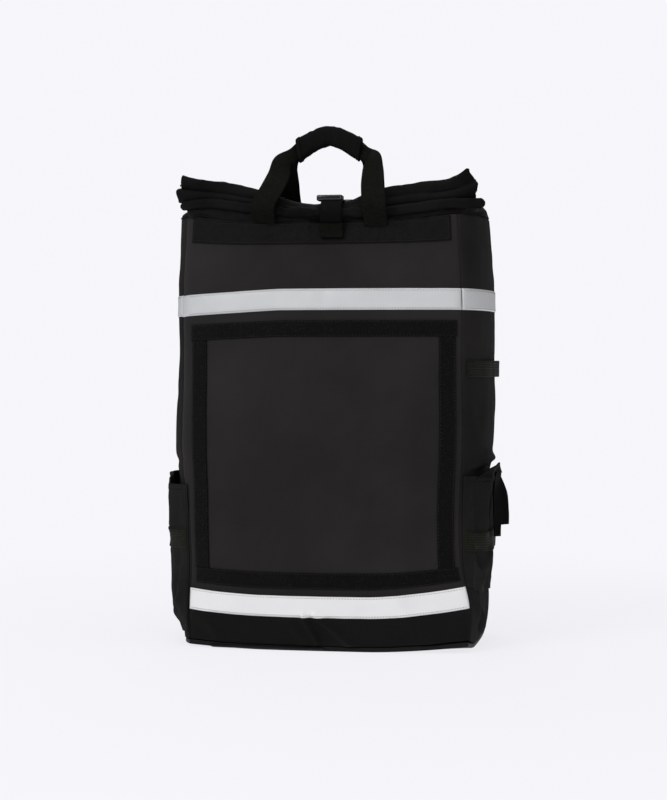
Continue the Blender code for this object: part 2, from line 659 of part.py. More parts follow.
def grip():
    """A sleeve of cloth round both loops."""
    share = np.linspace(-1, 1, 9)
    x = GRIP_X + share * GRIP_HALF_LENGTH
    z = GRIP_Z + GRIP_ARCH * (1 - share * share)
    slope = -2 * GRIP_ARCH * share / GRIP_HALF_LENGTH
    up = np.stack([-slope, np.ones_like(slope)], -1)
    up /= np.linalg.norm(up, axis=1)[:, None]
    turn = np.linspace(0, 2 * np.pi, 12, endpoint=False)
    hole_height = HANDLE_FOLDED_WIDTH / 2 + 7 * GAP
    hole_depth = HANDLE_WEBBING + 9 * GAP
    grids = []
    for wall in (GRIP_WALL, 0.0):
        lift = (hole_height + wall) * np.sign(np.sin(turn)) * np.abs(np.sin(turn)) ** 0.6
        deep = (hole_depth + wall) * np.sign(np.cos(turn)) * np.abs(np.cos(turn)) ** 0.6
        points_x = x[:, None] + up[:, 0][:, None] * lift[None, :]
        points_z = z[:, None] + up[:, 1][:, None] * lift[None, :]
        points_y = np.broadcast_to(GRIP_Y + deep[None, :], points_x.shape)
        grids.append(np.stack([points_x, points_y, points_z], -1))
    sheet("handle_grip", CLOTH, grids[0], grids[1], round_sleeve=True)


def closure():
    """The strap over the roll, the bar that it passes, and its folded end."""
    middle_y, middle_z, half_depth, _, _ = roll_frame(CLOSURE_X)
    edges = roll_frame(CLOSURE_X + CLOSURE_WIDTH * np.array([-0.5, 0.0, 0.5, 0.6]))
    lip_y, lip_z = lip_middle(CLOSURE_X)
    out = WEBBING / 2 + GAP
    top = max(edges[1] + edges[3]) + out + GAP
    lip_front = lip_y - LIP_RADIUS - out
    strip_out = CLOSURE_REST + GAP + WEBBING + GAP + WEBBING / 2
    end_y = front_face(np.array(CLOSURE_X / HALF_WIDTH), np.array(CLOSURE_END_Z), -strip_out)[1]
    rear_y = middle_y + half_depth
    route = np.array([
        (rear_y + 0.030, WALL_TOP + COLLAR_RISE + 0.006),
        (rear_y + 0.006, top + 0.004),
        (middle_y + half_depth * 0.5, top + 0.001),
        (middle_y, top + 0.0012),
        (middle_y - half_depth * 0.6, top + 0.001),
        (middle_y - half_depth - 0.003, top - 0.0005),
        (lip_front + 0.002, lip_z + 0.0075),
        (lip_front - 0.0012, lip_z),
        (lip_front + 0.0015, lip_z - 0.0085),
        (end_y - 0.0006, WALL_TOP - 0.010),
        (end_y, CLOSURE_END_Z),
    ])
    lengths = np.linalg.norm(np.diff(route, axis=0), axis=1)
    run = np.concatenate([[0], np.cumsum(lengths)])
    at = np.linspace(0, run[-1], 27)
    y, z = smooth_value(run, route[:, 0], at), smooth_value(run, route[:, 1], at)
    middle = np.stack([np.full_like(y, CLOSURE_X), y, z], -1)
    forward = np.gradient(middle, axis=0)
    forward /= np.linalg.norm(forward, axis=1)[:, None]
    across = np.broadcast_to(np.array([1.0, 0.0, 0.0]), forward.shape)
    normal = np.cross(across, forward)
    ribbon("closure_strap", WEB, middle, across, normal, np.full(len(at), CLOSURE_WIDTH), WEBBING)

    slider_z = top + WEBBING / 2 + GAP + SLIDER_THICKNESS / 2 + 0.0014
    slider = box("closure_slider", PLASTIC, (SLIDER_WIDTH, 0.016, SLIDER_THICKNESS), 0.0014)
    slider.location = (CLOSURE_X, middle_y - half_depth * 0.35, slider_z)
    tail_line = np.linspace(run[-1] - TAIL_MARGIN - TAIL_HEIGHT, run[-1] - TAIL_MARGIN, 7)
    y, z = smooth_value(run, route[:, 0], tail_line), smooth_value(run, route[:, 1], tail_line)
    tail = np.stack([np.full_like(y, CLOSURE_X), y, z], -1)
    forward = np.gradient(tail, axis=0)
    forward /= np.linalg.norm(forward, axis=1)[:, None]
    across = np.broadcast_to(np.array([1.0, 0.0, 0.0]), forward.shape)
    normal = np.cross(across, forward)
    outward = normal * np.sign(-normal[:, 1:2])
    tail += outward * (WEBBING / 2 + 2 * GAP + WEBBING)
    ribbon("closure_tail", WEB, tail, across, normal, np.full(len(tail), TAIL_WIDTH), 2 * WEBBING)


def box(name, surface, size, rounding):
    """A block with rounded edges, at the origin."""
    work = bmesh.new()
    bmesh.ops.create_cube(work, size=1.0)
    bmesh.ops.scale(work, vec=size, verts=work.verts)
    bmesh.ops.bevel(
        work, geom=work.edges[:], offset=rounding, segments=2, profile=0.5, affect="EDGES", material=-1
    )
    mesh = bpy.data.meshes.new(name)
    work.to_mesh(mesh)
    work.free()
    mesh.shade_smooth()
    mesh.set_sharp_from_angle(angle=np.radians(40))
    mesh.materials.append(surface)
    made = bpy.data.objects.new(name, mesh)
    bpy.context.collection.objects.link(made)
    return made


def shoulder_straps():
    """Padded straps that stand off the back, and the webbing that anchors each near the base."""
    for side, word in ((1, "right"), (-1, "left")):
        share = np.linspace(0, 1, 13)[:, None]
        z = SHOULDER_TOP + share * (SHOULDER_END - SHOULDER_TOP)
        standoff = smooth_value((0, 0.15, 0.5, 0.8, 1), (0, 0.45, 1, 0.95, SHOULDER_END_STAND), share)
        stand = GAP + SHOULDER_STANDOFF * standoff
        centre = -side * (SHOULDER_X + SHOULDER_SPLAY * share ** 2)
        s = (centre + SHOULDER_WIDTH * np.linspace(-0.5, 0.5, 5)[None, :]) / HALF_WIDTH
        s, z, stand = np.broadcast_arrays(s, z, stand)
        sheet(
            f"shoulder_strap_{word}", PAD,
            back_face(s, z, -stand - SHOULDER_PAD), back_face(s, z, -stand),
        )
        share = np.linspace(0, 1, 13)[:, None]
        start_out = GAP + SHOULDER_STANDOFF * SHOULDER_END_STAND + SHOULDER_PAD + 2 * GAP
        start_z = SHOULDER_END + LOWER_WEBBING_OVERLAP
        z = start_z + share * (LOWER_WEBBING_END - start_z)
        stand = start_out + 0.002 - (start_out + 0.002 - GAP) * smooth_value((0, 0.15, 1), (0, 0.02, 1), share)
        start_x = SHOULDER_X + SHOULDER_SPLAY
        centre = -side * (start_x + (LOWER_WEBBING_X - start_x) * share)
        s = (centre + LOWER_WEBBING_WIDTH * np.linspace(-0.5, 0.5, 3)[None, :]) / HALF_WIDTH
        s, z, stand = np.broadcast_arrays(s, z, stand)
        sheet(
            f"strap_webbing_{word}", WEB,
            back_face(s, z, -stand - WEBBING), back_face(s, z, -stand),
        )


for stale in list(bpy.data.objects):
    bpy.data.objects.remove(stale)

CLOTH = material("charcoal_cloth", (0.017, 0.016, 0.017), 0.82)
BACK_CLOTH = material("back_cloth", (0.015, 0.015, 0.016), 0.90)
BASE_CLOTH = material("base_cloth", (0.013, 0.013, 0.014), 0.65)
PAD = material("strap_pad", (0.014, 0.014, 0.015), 0.90)
WEB = material("webbing", (0.011, 0.011, 0.010), 0.70)
LOOP = material("loop_pile", (0.005, 0.005, 0.005), 0.95)
SILVER = material("silver_reflective", (0.52, 0.54, 0.56), 0.45)
WHITE = material("white_reflective", (0.80, 0.81, 0.82), 0.45)
PLASTIC = material("black_plastic", (0.010, 0.010, 0.010), 0.30)

walls()
base()
top_collar()
roll_top()
roll_lip()
tapes()
loop_frame()
pockets()
side_loop()
side_tail()
handle()
grip()
closure()
shoulder_straps()
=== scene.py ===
import math

import bmesh
import bpy
import numpy as np
from mathutils import Matrix, Vector


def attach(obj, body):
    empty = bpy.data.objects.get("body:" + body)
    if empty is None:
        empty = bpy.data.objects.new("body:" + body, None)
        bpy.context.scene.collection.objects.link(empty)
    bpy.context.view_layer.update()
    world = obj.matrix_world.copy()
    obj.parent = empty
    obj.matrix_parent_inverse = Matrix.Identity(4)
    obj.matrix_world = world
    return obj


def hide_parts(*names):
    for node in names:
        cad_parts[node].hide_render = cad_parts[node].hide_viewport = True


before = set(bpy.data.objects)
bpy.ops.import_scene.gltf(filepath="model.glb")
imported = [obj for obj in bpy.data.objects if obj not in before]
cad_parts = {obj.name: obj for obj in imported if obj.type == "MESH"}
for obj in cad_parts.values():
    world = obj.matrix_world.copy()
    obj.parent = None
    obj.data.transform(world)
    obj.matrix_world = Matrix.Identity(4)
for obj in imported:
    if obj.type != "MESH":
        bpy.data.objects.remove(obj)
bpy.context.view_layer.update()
print("frame loaded")


def linked(made):
    bpy.context.scene.collection.objects.link(made)
    return made


# camera, at the photograph's angle
photoView = {
    "azimuth": 10.0, "distance": 2.4, "height": 0.3335, "lens": 86.85, "shiftX": -0.0044, "shiftY": -0.0375,
}

cameraData = bpy.data.cameras.new("camera")
cameraData.lens = photoView["lens"]
cameraData.sensor_width = 36.0
cameraData.shift_x = photoView["shiftX"]
cameraData.shift_y = photoView["shiftY"]
cameraData.clip_end = 30.0
camera = linked(bpy.data.objects.new("camera", cameraData))
turn = math.radians(photoView["azimuth"])
away = photoView["distance"]
camera.location = (away * math.sin(turn), -away * math.cos(turn), photoView["height"])
camera.rotation_euler = (math.pi / 2, 0, turn)
bpy.context.scene.camera = camera
bpy.context.scene.view_settings.view_transform = "Standard"


# shader nodes

def addNode(tree, kind, **settings):
    node = tree.nodes.new(kind)
    for key, value in settings.items():
        if key in node.inputs:
            node.inputs[key].default_value = value
        else:
            setattr(node, key, value)
    return node


def mathNode(tree, operation, *inputs, clamp=False):
    # each input is a number or another node's output
    node = addNode(tree, "ShaderNodeMath", operation=operation, use_clamp=clamp)
    for number, value in enumerate(inputs):
        if isinstance(value, float):
            node.inputs[number].default_value = value
        else:
            tree.links.new(value, node.inputs[number])
    return node.outputs[0]


def noiseNode(tree, scale, detail, roughness=0.5):
    place = addNode(tree, "ShaderNodeTexCoord")
    node = addNode(tree, "ShaderNodeTexNoise", Scale=scale, Detail=detail, Roughness=roughness)
    tree.links.new(place.outputs["Object"], node.inputs["Vector"])
    return node.outputs["Fac"]


def rangeNode(tree, source, fromRange, toRange=(0.0, 1.0), **settings):
    node = addNode(tree, "ShaderNodeMapRange", **settings)
    for word, (least, most) in (("From", fromRange), ("To", toRange)):
        node.inputs[word + " Min"].default_value = least
        node.inputs[word + " Max"].default_value = most
    tree.links.new(source, node.inputs["Value"])
    return node.outputs[0]


def toneNode(tree, share, colour, pale):
    node = addNode(tree, "ShaderNodeMix", data_type="RGBA")
    node.inputs[6].default_value = (*colour, 1)
    node.inputs[7].default_value = (*pale, 1)
    tree.links.new(share, node.inputs[0])
    return node.outputs[2]


def addBump(tree, shader, height, strength, distance):
    node = addNode(tree, "ShaderNodeBump", Strength=strength, Distance=distance)
    tree.links.new(height, node.inputs["Height"])
    tree.links.new(node.outputs[0], shader.inputs["Normal"])


# floor and lights
studio = {
    "paper": (0.925, 0.925, 0.96, 1),
    "matte": (0.9, 0.9, 0.93, 1),
    "air": 0.24,
    "lamps": (
        # name, place, aimed at, size, power
        ("keyLamp", (-1.5, -2.3, 2.0), (0, 0, 0.32), 1.4, 44),
        ("fillLamp", (1.2, -2.6, 1.0), (0, 0, 0.3), 1.5, 15),
        ("topLamp", (0.2, -0.3, 2.6), (0, 0, 0.3), 1.4, 20),
        ("backLamp", (-0.6, 2.2, 1.9), (0, 0, 0.35), 1.6, 22),
    ),
}


def mixInto(tree, output, share, first, second):
    # the share is of the second shader
    both = addNode(tree, "ShaderNodeMixShader")
    for number, source in enumerate((share, first.outputs[0], second.outputs[0])):
        tree.links.new(source, both.inputs[number])
    tree.links.new(both.outputs[0], addNode(tree, output).inputs["Surface"])


def paperMaterial():
    # glowing paper that keeps a faint shadow near the bag
    made = bpy.data.materials.new("paleFloor")
    made.use_nodes = True
    tree = made.node_tree
    tree.nodes.clear()
    glow = addNode(tree, "ShaderNodeEmission", Color=studio["paper"])
    matte = addNode(tree, "ShaderNodeBsdfDiffuse", Color=studio["matte"])
    place = addNode(tree, "ShaderNodeTexCoord")
    reach = addNode(tree, "ShaderNodeVectorMath", operation="LENGTH")
    tree.links.new(place.outputs["Object"], reach.inputs[0])
    fade = rangeNode(tree, reach.outputs["Value"], (0.25, 1.3), (0.16, 0.0), interpolation_type="SMOOTHSTEP")
    mixInto(tree, "ShaderNodeOutputMaterial", fade, glow, matte)
    return made


def makeStage():
    bm = bmesh.new()
    bmesh.ops.create_grid(bm, x_segments=2, y_segments=2, size=9.0)
    mesh = bpy.data.meshes.new("floor")
    bm.to_mesh(mesh)
    bm.free()
    mesh.materials.append(paperMaterial())
    floor = linked(bpy.data.objects.new("floor", mesh))
    floor.location = (0, 0, -0.0002)
    for name, place, aim, size, power in studio["lamps"]:
        lamp = bpy.data.lights.new(name, "AREA")
        lamp.shape = "SQUARE"
        lamp.size = size
        lamp.energy = power
        holder = linked(bpy.data.objects.new(name, lamp))
        holder.location = place
        holder.rotation_euler = (Vector(aim) - Vector(place)).to_track_quat("-Z", "Y").to_euler()
    world = bpy.data.worlds.new("softRoom")
    world.use_nodes = True
    bpy.context.scene.world = world
    tree = world.node_tree
    tree.nodes.clear()
    lit = addNode(tree, "ShaderNodeBackground", Color=(1, 1, 1, 1), Strength=studio["air"])
    seen = addNode(tree, "ShaderNodeBackground", Color=studio["paper"])
    rays = addNode(tree, "ShaderNodeLightPath")
    mixInto(tree, "ShaderNodeOutputWorld", rays.outputs["Is Camera Ray"], lit, seen)


makeStage()
print("studio ready")


# materials

def shaderStart(name, colour, roughness, sockets):
    made = bpy.data.materials.new(name)
    made.use_nodes = True
    tree = made.node_tree
    shader = tree.nodes["Principled BSDF"]
    shader.inputs["Base Color"].default_value = (*colour, 1)
    shader.inputs["Roughness"].default_value = roughness
    for socket, value in sockets.items():
        shader.inputs[socket].default_value = value
    return made, tree, shader


def clothMaterial(name, colour, pale, roughness, pitch, depth, sheen, specular, blotch=6.0, darkFoot=1.0):
    # woven nylon: crossed threads, soft blotches, a little sheen, and darkFoot its tone near the floor
    sockets = {"Sheen Weight": sheen, "Sheen Roughness": 0.45, "Specular IOR Level": specular}
    made, tree, shader = shaderStart(name, colour, roughness, sockets)
    uv = addNode(tree, "ShaderNodeUVMap", uv_map="cloth")
    crossed = []
    for way in ("X", "Y"):
        wave = addNode(
            tree, "ShaderNodeTexWave", wave_type="BANDS", bands_direction=way,
            Scale=0.314 / pitch, Distortion=1.4, Detail=1.0,
        )
        wave.inputs["Detail Scale"].default_value = 2.0
        tree.links.new(uv.outputs[0], wave.inputs["Vector"])
        crossed.append(wave.outputs["Fac"])
    threads = mathNode(tree, "MULTIPLY", *crossed)
    blotches = rangeNode(tree, noiseNode(tree, blotch, 4.0, 0.55), (0.35, 0.68))
    share = mathNode(tree, "ADD", blotches, mathNode(tree, "MULTIPLY_ADD", threads, 0.5, -0.12), clamp=True)
    place = addNode(tree, "ShaderNodeTexCoord")
    parts = addNode(tree, "ShaderNodeSeparateXYZ")
    tree.links.new(place.outputs["Object"], parts.inputs[0])
    low = rangeNode(tree, parts.outputs["Z"], (0.04, 0.085), (darkFoot, 1.0), interpolation_type="SMOOTHSTEP")
    shade = addNode(tree, "ShaderNodeVectorMath", operation="SCALE")
    tree.links.new(toneNode(tree, share, colour, pale), shade.inputs[0])
    tree.links.new(low, shade.inputs["Scale"])
    tree.links.new(shade.outputs[0], shader.inputs["Base Color"])
    grain = noiseNode(tree, 420.0, 2.0, 0.6)
    rough = rangeNode(tree, grain, (0.0, 1.0), (roughness - 0.06, roughness + 0.08))
    tree.links.new(rough, shader.inputs["Roughness"])
    addBump(tree, shader, threads, 0.6, depth)
    return made


def webbingMaterial(name, colour, pale, roughness, rib, depth, specular, chevron=1.0):
    # ribs run across the strap, broken by a chevron
    made, tree, shader = shaderStart(name, colour, roughness, {"Specular IOR Level": specular})
    uv = addNode(tree, "ShaderNodeUVMap", uv_map="cloth")
    parts = addNode(tree, "ShaderNodeSeparateXYZ")
    tree.links.new(uv.outputs[0], parts.inputs[0])
    fold = mathNode(tree, "PINGPONG", parts.outputs["X"], rib * 2.2)
    climb = mathNode(tree, "MULTIPLY_ADD", fold, chevron, parts.outputs["Y"])
    rows = mathNode(tree, "SINE", mathNode(tree, "MULTIPLY", climb, 2 * math.pi / rib))
    share = mathNode(tree, "MULTIPLY_ADD", rows, 0.28, noiseNode(tree, 260.0, 3.0, 0.6), clamp=True)
    tree.links.new(toneNode(tree, share, colour, pale), shader.inputs["Base Color"])
    addBump(tree, shader, share, 0.7, depth)
    return made


def pileMaterial(name, colour, pale):
    # looped pile: dense tiny loops with pale flecks where fibres catch light
    sockets = {"Sheen Weight": 0.02, "Sheen Roughness": 0.6, "Specular IOR Level": 0.08}
    made, tree, shader = shaderStart(name, colour, 0.95, sockets)
    place = addNode(tree, "ShaderNodeTexCoord")
    loops = addNode(tree, "ShaderNodeTexVoronoi", Scale=620.0)
    tree.links.new(place.outputs["Object"], loops.inputs["Vector"])
    rise = mathNode(tree, "SUBTRACT", noiseNode(tree, 900.0, 3.0, 0.7), loops.outputs["Distance"])
    addBump(tree, shader, rise, 0.9, 0.0012)
    flecks = rangeNode(tree, noiseNode(tree, 520.0, 2.0, 0.8), (0.56, 0.72))
    tree.links.new(toneNode(tree, flecks, colour, pale), shader.inputs["Base Color"])
    return made


def tapeMaterial(name, colour, shade, roughness):
    # reflective tape: pale film over a fine weave, faintly creased, its tone blotched with painted patches of
    # sheen and shade
    made, tree, shader = shaderStart(name, colour, roughness, {"Coat Weight": 0.12, "Coat Roughness": 0.35})
    # painted sheen and shade: soft blotches between the tape's two tones
    paintedSheenAndShade = noiseNode(tree, 16.0, 5.0, 0.6)
    tree.links.new(toneNode(tree, paintedSheenAndShade, colour, shade), shader.inputs["Base Color"])
    uv = addNode(tree, "ShaderNodeUVMap", uv_map="cloth")
    squeeze = addNode(tree, "ShaderNodeMapping", Scale=(160.0, 12.0, 1.0))
    tree.links.new(uv.outputs[0], squeeze.inputs["Vector"])
    crease = addNode(tree, "ShaderNodeTexNoise", Scale=1.0, Detail=2.0)
    tree.links.new(squeeze.outputs[0], crease.inputs["Vector"])
    addBump(tree, shader, crease.outputs["Fac"], 0.25, 0.0008)
    return made


def plasticMaterial(name, colour, roughness, coat, specular):
    sockets = {"Coat Weight": coat, "Coat Roughness": 0.12, "Specular IOR Level": specular}
    made, tree, shader = shaderStart(name, colour, roughness, sockets)
    addBump(tree, shader, noiseNode(tree, 700.0, 2.0), 0.15, 0.0002)
    return made


finishes = {}
# colour, pale colour, roughness, pitch and depth of the weave, sheen, specular, scale of blotches, darkFoot
for name, *looks in (
    (
        "frontCloth", (0.0126, 0.0114, 0.0118), (0.0195, 0.0175, 0.0181), 0.82, 0.0007, 0.00016, 0.02, 0.12,
        6, 0.25,
    ),
    ("sideCloth", (0.0098, 0.0089, 0.0091), (0.0184, 0.0167, 0.0172), 0.82, 0.0007, 0.00016, 0, 0.05, 6, 0.6),
    ("pocketCloth", (0.009, 0.0087, 0.0088), (0.017, 0.0165, 0.0167), 0.8, 0.0007, 0.00016, 0.0, 0.05),
    ("baseCloth", (0.003, 0.003, 0.0032), (0.0068, 0.0068, 0.0072), 0.55, 0.0009, 0.00018, 0.0, 0.12),
    ("backCloth", (0.009, 0.009, 0.0095), (0.0145, 0.0145, 0.015), 0.88, 0.0022, 0.0005, 0.05, 0.14),
    ("padCloth", (0.0095, 0.0094, 0.0098), (0.015, 0.0148, 0.0152), 0.86, 0.0018, 0.0004, 0.03, 0.14),
    ("gripCloth", (0.003, 0.003, 0.0031), (0.0066, 0.0065, 0.0067), 0.78, 0.0009, 0.0002, 0.0, 0.07, 14),
    ("collarCloth", (0.0014, 0.0013, 0.0014), (0.0066, 0.0062, 0.0064), 0.74, 0.0007, 0.00016, 0.0, 0.06, 16),
    ("neckCloth", (0.003, 0.0028, 0.0029), (0.0072, 0.0067, 0.007), 0.76, 0.0007, 0.00016, 0.0, 0.07),
):
    finishes[name] = clothMaterial(name, *looks)
# colour, pale colour, roughness, width and depth of a rib, specular, slope of the chevron
for name, *looks in (
    ("handleWebbing", (0.0012, 0.0013, 0.001), (0.0092, 0.0095, 0.008), 0.8, 0.002, 0.0006, 0.03),
    ("darkWebbing", (0.0005, 0.0005, 0.0005), (0.0024, 0.0024, 0.0025), 0.62, 0.0018, 0.0005, 0.05),
    ("oliveWebbing", (0.0046, 0.0051, 0.0032), (0.0158, 0.0168, 0.0118), 0.7, 0.003, 0.00045, 0.06, 0.0),
    ("stripWebbing", (0.0026, 0.0026, 0.0025), (0.0112, 0.0112, 0.0107), 0.84, 0.0019, 0.00045, 0.06),
):
    finishes[name] = webbingMaterial(name, *looks)
finishes["loopPile"] = pileMaterial("loopPile", (0.0022, 0.0022, 0.0023), (0.013, 0.013, 0.013))
finishes["silverTape"] = tapeMaterial("silverTape", (0.455, 0.462, 0.47), (0.56, 0.565, 0.575), 0.42)
finishes["whiteTape"] = tapeMaterial("whiteTape", (0.8, 0.8, 0.805), (0.74, 0.74, 0.745), 0.48)
# colour, roughness, coat, specular
for name, *looks in (
    ("blackPlastic", (0.004, 0.004, 0.004), 0.2, 0.3, 0.5),
    ("darkThread", (0.005, 0.005, 0.005), 0.8, 0.0, 0.1),
    ("dimThread", (0.022, 0.022, 0.022), 0.8, 0.0, 0.1),
    ("greyThread", (0.22, 0.23, 0.24), 0.8, 0.0, 0.1),
):
    finishes[name] = plasticMaterial(name, *looks)
print("materials ready")


# making and shaping

def curveThrough(stops, values, at):
    # a smooth curve through the values at the stops
    stops = np.asarray(stops, float)
    values = np.asarray(values, float)
    at = np.clip(at, stops[0], stops[-1])
    slopes = np.gradient(values, stops)
    i = np.clip(np.searchsorted(stops, at) - 1, 0, len(stops) - 2)
    step = stops[i + 1] - stops[i]
    u = (at - stops[i]) / step
    start = (1 + 2 * u) * (1 - u) ** 2 * values[i] + u * (1 - u) ** 2 * step * slopes[i]
    end = u * u * (3 - 2 * u) * values[i + 1] + u * u * (u - 1) * step * slopes[i + 1]
    return start + end


def ramp(length, run):
    # the length as a share of the run, held between 0 and 1
    return np.clip(length / run, 0, 1)


def bell(length, run):
    return np.exp(-(length / run) ** 2)


def swollen(wave, power):
    # a sine or cosine made squarer by a power below 1
    return np.sign(wave) * np.abs(wave) ** power


def eased(share):
    return share * share * (3 - 2 * share)


def paired(s, z):
    return np.broadcast_arrays(np.asarray(s, float), np.asarray(z, float))


def softNoise(a, b, cell, seed):
    # smooth random hills, from -1 to 1, about one cell wide
    hills = np.random.default_rng(seed).uniform(-1, 1, (97, 97))
    a, b = np.asarray(a) / cell + 31.7, np.asarray(b) / cell + 17.3
    i, j = np.floor(a).astype(int), np.floor(b).astype(int)
    u, v = a - i, b - j
    u, v = eased(u), eased(v)
    i, j = i % 96, j % 96
    low = hills[i, j] * (1 - u) + hills[i + 1, j] * u
    high = hills[i, j + 1] * (1 - u) + hills[i + 1, j + 1] * u
    return low * (1 - v) + high * v


def foldsAt(rows, a, b):
    # soft ridges, each along a line: from (a, b) to (a, b), half width and height, negative for a valley
    total = np.zeros(np.broadcast(a, b).shape)
    for fromA, fromB, toA, toB, spread, height in rows:
        runA, runB = toA - fromA, toB - fromB
        run = math.hypot(runA, runB)
        along = ((a - fromA) * runA + (b - fromB) * runB) / run
        off = ((b - fromB) * runA - (a - fromA) * runB) / run
        past = np.maximum(np.maximum(-along, along - run), 0) / (spread * 1.8)
        total += height * np.exp(-(off / spread) ** 2 - past ** 2)
    return total


def foldsRound(rows, x, turns, girth):
    # the same for rows whose second and fourth measures are turns round a tube of this girth
    return foldsAt([(a, b * girth, c, d * girth, e, f) for a, b, c, d, e, f in rows], x, turns * girth)


def finishMesh(name, bm, material, smoothAngle=50):
    mesh = bpy.data.meshes.new(name)
    bm.to_mesh(mesh)
    bm.free()
    mesh.shade_smooth()
    mesh.set_sharp_from_angle(angle=math.radians(smoothAngle))
    mesh.materials.append(finishes[material])
    made = linked(bpy.data.objects.new(name, mesh))
    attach(made, "root")
    return made


def clothGrid(name, columns, rows, size, placeAt, material, thickness=0.0,
              joined=False, capped=False, offset=-1.0, turned=False):
    # a grid laid out by placeAt(u, v), with u and v from 0 to 1; size is its cut width and height,
    # and turned lays its weave crosswise
    bm = bmesh.new()
    bmesh.ops.create_grid(bm, x_segments=columns, y_segments=rows, size=0.5)
    bm.verts.ensure_lookup_table()
    flat = np.array([v.co for v in bm.verts])
    u, v = flat[:, 0] + 0.5, flat[:, 1] + 0.5
    places = np.stack(np.broadcast_arrays(*placeAt(u, v)), -1)
    layer = bm.loops.layers.uv.new("cloth")
    for face in bm.faces:
        for loop in face.loops:
            k = loop.vert.index
            spot = (u[k] * size[0], v[k] * size[1])
            loop[layer].uv = spot[::-1] if turned else spot
    for vert, place in zip(bm.verts, places):
        vert.co = place
    if joined:
        bmesh.ops.remove_doubles(bm, verts=bm.verts, dist=1e-6)
    if capped:
        bmesh.ops.holes_fill(bm, edges=[e for e in bm.edges if e.is_boundary], sides=0)
        bmesh.ops.recalc_face_normals(bm, faces=bm.faces)
    made = finishMesh(name, bm, material)
    if thickness:
        wall = made.modifiers.new("thickness", "SOLIDIFY")
        wall.thickness = thickness
        wall.offset = offset
        wall.use_even_offset = False
    return made


# a stitch's length and thickness; pitch, short and long are how far apart stitches stand
stitch = {
    "length": 0.0024, "radius": 0.00032, "thick": 0.00034, "pitch": 0.0034, "short": 0.003, "long": 0.004,
}


def stitchRow(name, places, outward, material="darkThread", pitch=stitch["pitch"], radius=stitch["radius"]):
    # a line of lockstitches, each a slim seed of thread, along the points; places holds their x, y and z
    points = np.stack(places, -1).astype(float)
    runs = np.linalg.norm(np.diff(points, axis=0), axis=1)
    run = np.concatenate([[0], np.cumsum(runs)])
    count = max(int(run[-1] / pitch), 1)
    half = stitch["length"] / 2

    def pointAt(distance):
        return Vector([np.interp(distance, run, points[:, k]) for k in range(3)])

    bm = bmesh.new()
    for middle in (np.arange(count) + 0.5) * run[-1] / count:
        along = (pointAt(min(middle + half, run[-1])) - pointAt(max(middle - half, 0))).normalized()
        across = along.cross(Vector(outward)).normalized()
        spin = Matrix((across, along, across.cross(along))).transposed().to_4x4()
        grow = Matrix.Diagonal((radius, half, radius * 0.8, 1))
        spot = Matrix.Translation(pointAt(middle)) @ spin @ grow
        bmesh.ops.create_icosphere(bm, subdivisions=1, radius=1.0, matrix=spot)
    return finishMesh(name, bm, material, 180)


# the body: soft walls round a hollow, seam to seam
bag = {
    "halfWidth": 0.167, "halfDepth": 0.095, "top": 0.51, "bottom": 0.0066, "wall": 0.002, "backWall": 0.008,
    "frontBulge": 0.03, "sideBulge": 0.026, "backBulge": 0.01, "slump": 0.006,
    "rightLift": 0.0122, "leftLift": 0.005, "cornerRise": 0.008, "leftSeam": 0.085,
    "seamPull": 0.0009, "seamSpread": 0.002,
}
sideWords = {1: "Right", -1: "Left"}
# rise, width, front, back, frontBulge, leftBulge, rightBulge, backBulge, slump: shares of bag's sizes
bagLevels = np.array((
    (0.0, 1.01, 1.06, 0.92, 0.45, 0.8, 0.1, 0.2, 1.0),
    (0.08, 1.02, 1.03, 0.96, 0.75, 0.95, 0.35, 0.5, 1.0),
    (0.16, 0.99, 1.0, 0.99, 1.0, 0.95, 0.68, 0.8, 0.4),
    (0.29, 0.985, 1.0, 1.0, 1.0, 0.95, 0.78, 1.0, 0.0),
    (0.38, 0.99, 1.0, 1.0, 0.97, 1.0, 0.79, 1.0, 0.0),
    (0.45, 1.0, 1.0, 1.0, 0.95, 1.12, 0.95, 1.0, 0.0),
    (0.65, 1.0, 1.0, 1.0, 0.9, 1.02, 1.04, 1.0, 0.0),
    (0.84, 0.995, 0.99, 0.98, 0.75, 1.1, 1.06, 0.8, 0.0),
    (1.0, 0.965, 0.96, 0.92, 0.55, 1.25, 1.05, 0.4, 0.0),
))
# broad dents of the front: across, rise, their spreads, depth
frontDents = (
    (-0.02, 0.04, 0.1, 0.03, 0.004), (0.16, 0.055, 0.05, 0.04, -0.002), (-0.55, 0.06, 0.25, 0.035, 0.0025),
    (0.62, 0.09, 0.14, 0.05, 0.003), (-0.72, 0.96, 0.16, 0.06, 0.0025), (0.05, 0.94, 0.26, 0.07, 0.004),
    (0.66, 0.94, 0.18, 0.06, 0.003), (-0.3, 0.45, 0.45, 0.16, -0.003), (0.35, 0.62, 0.4, 0.12, 0.002),
)
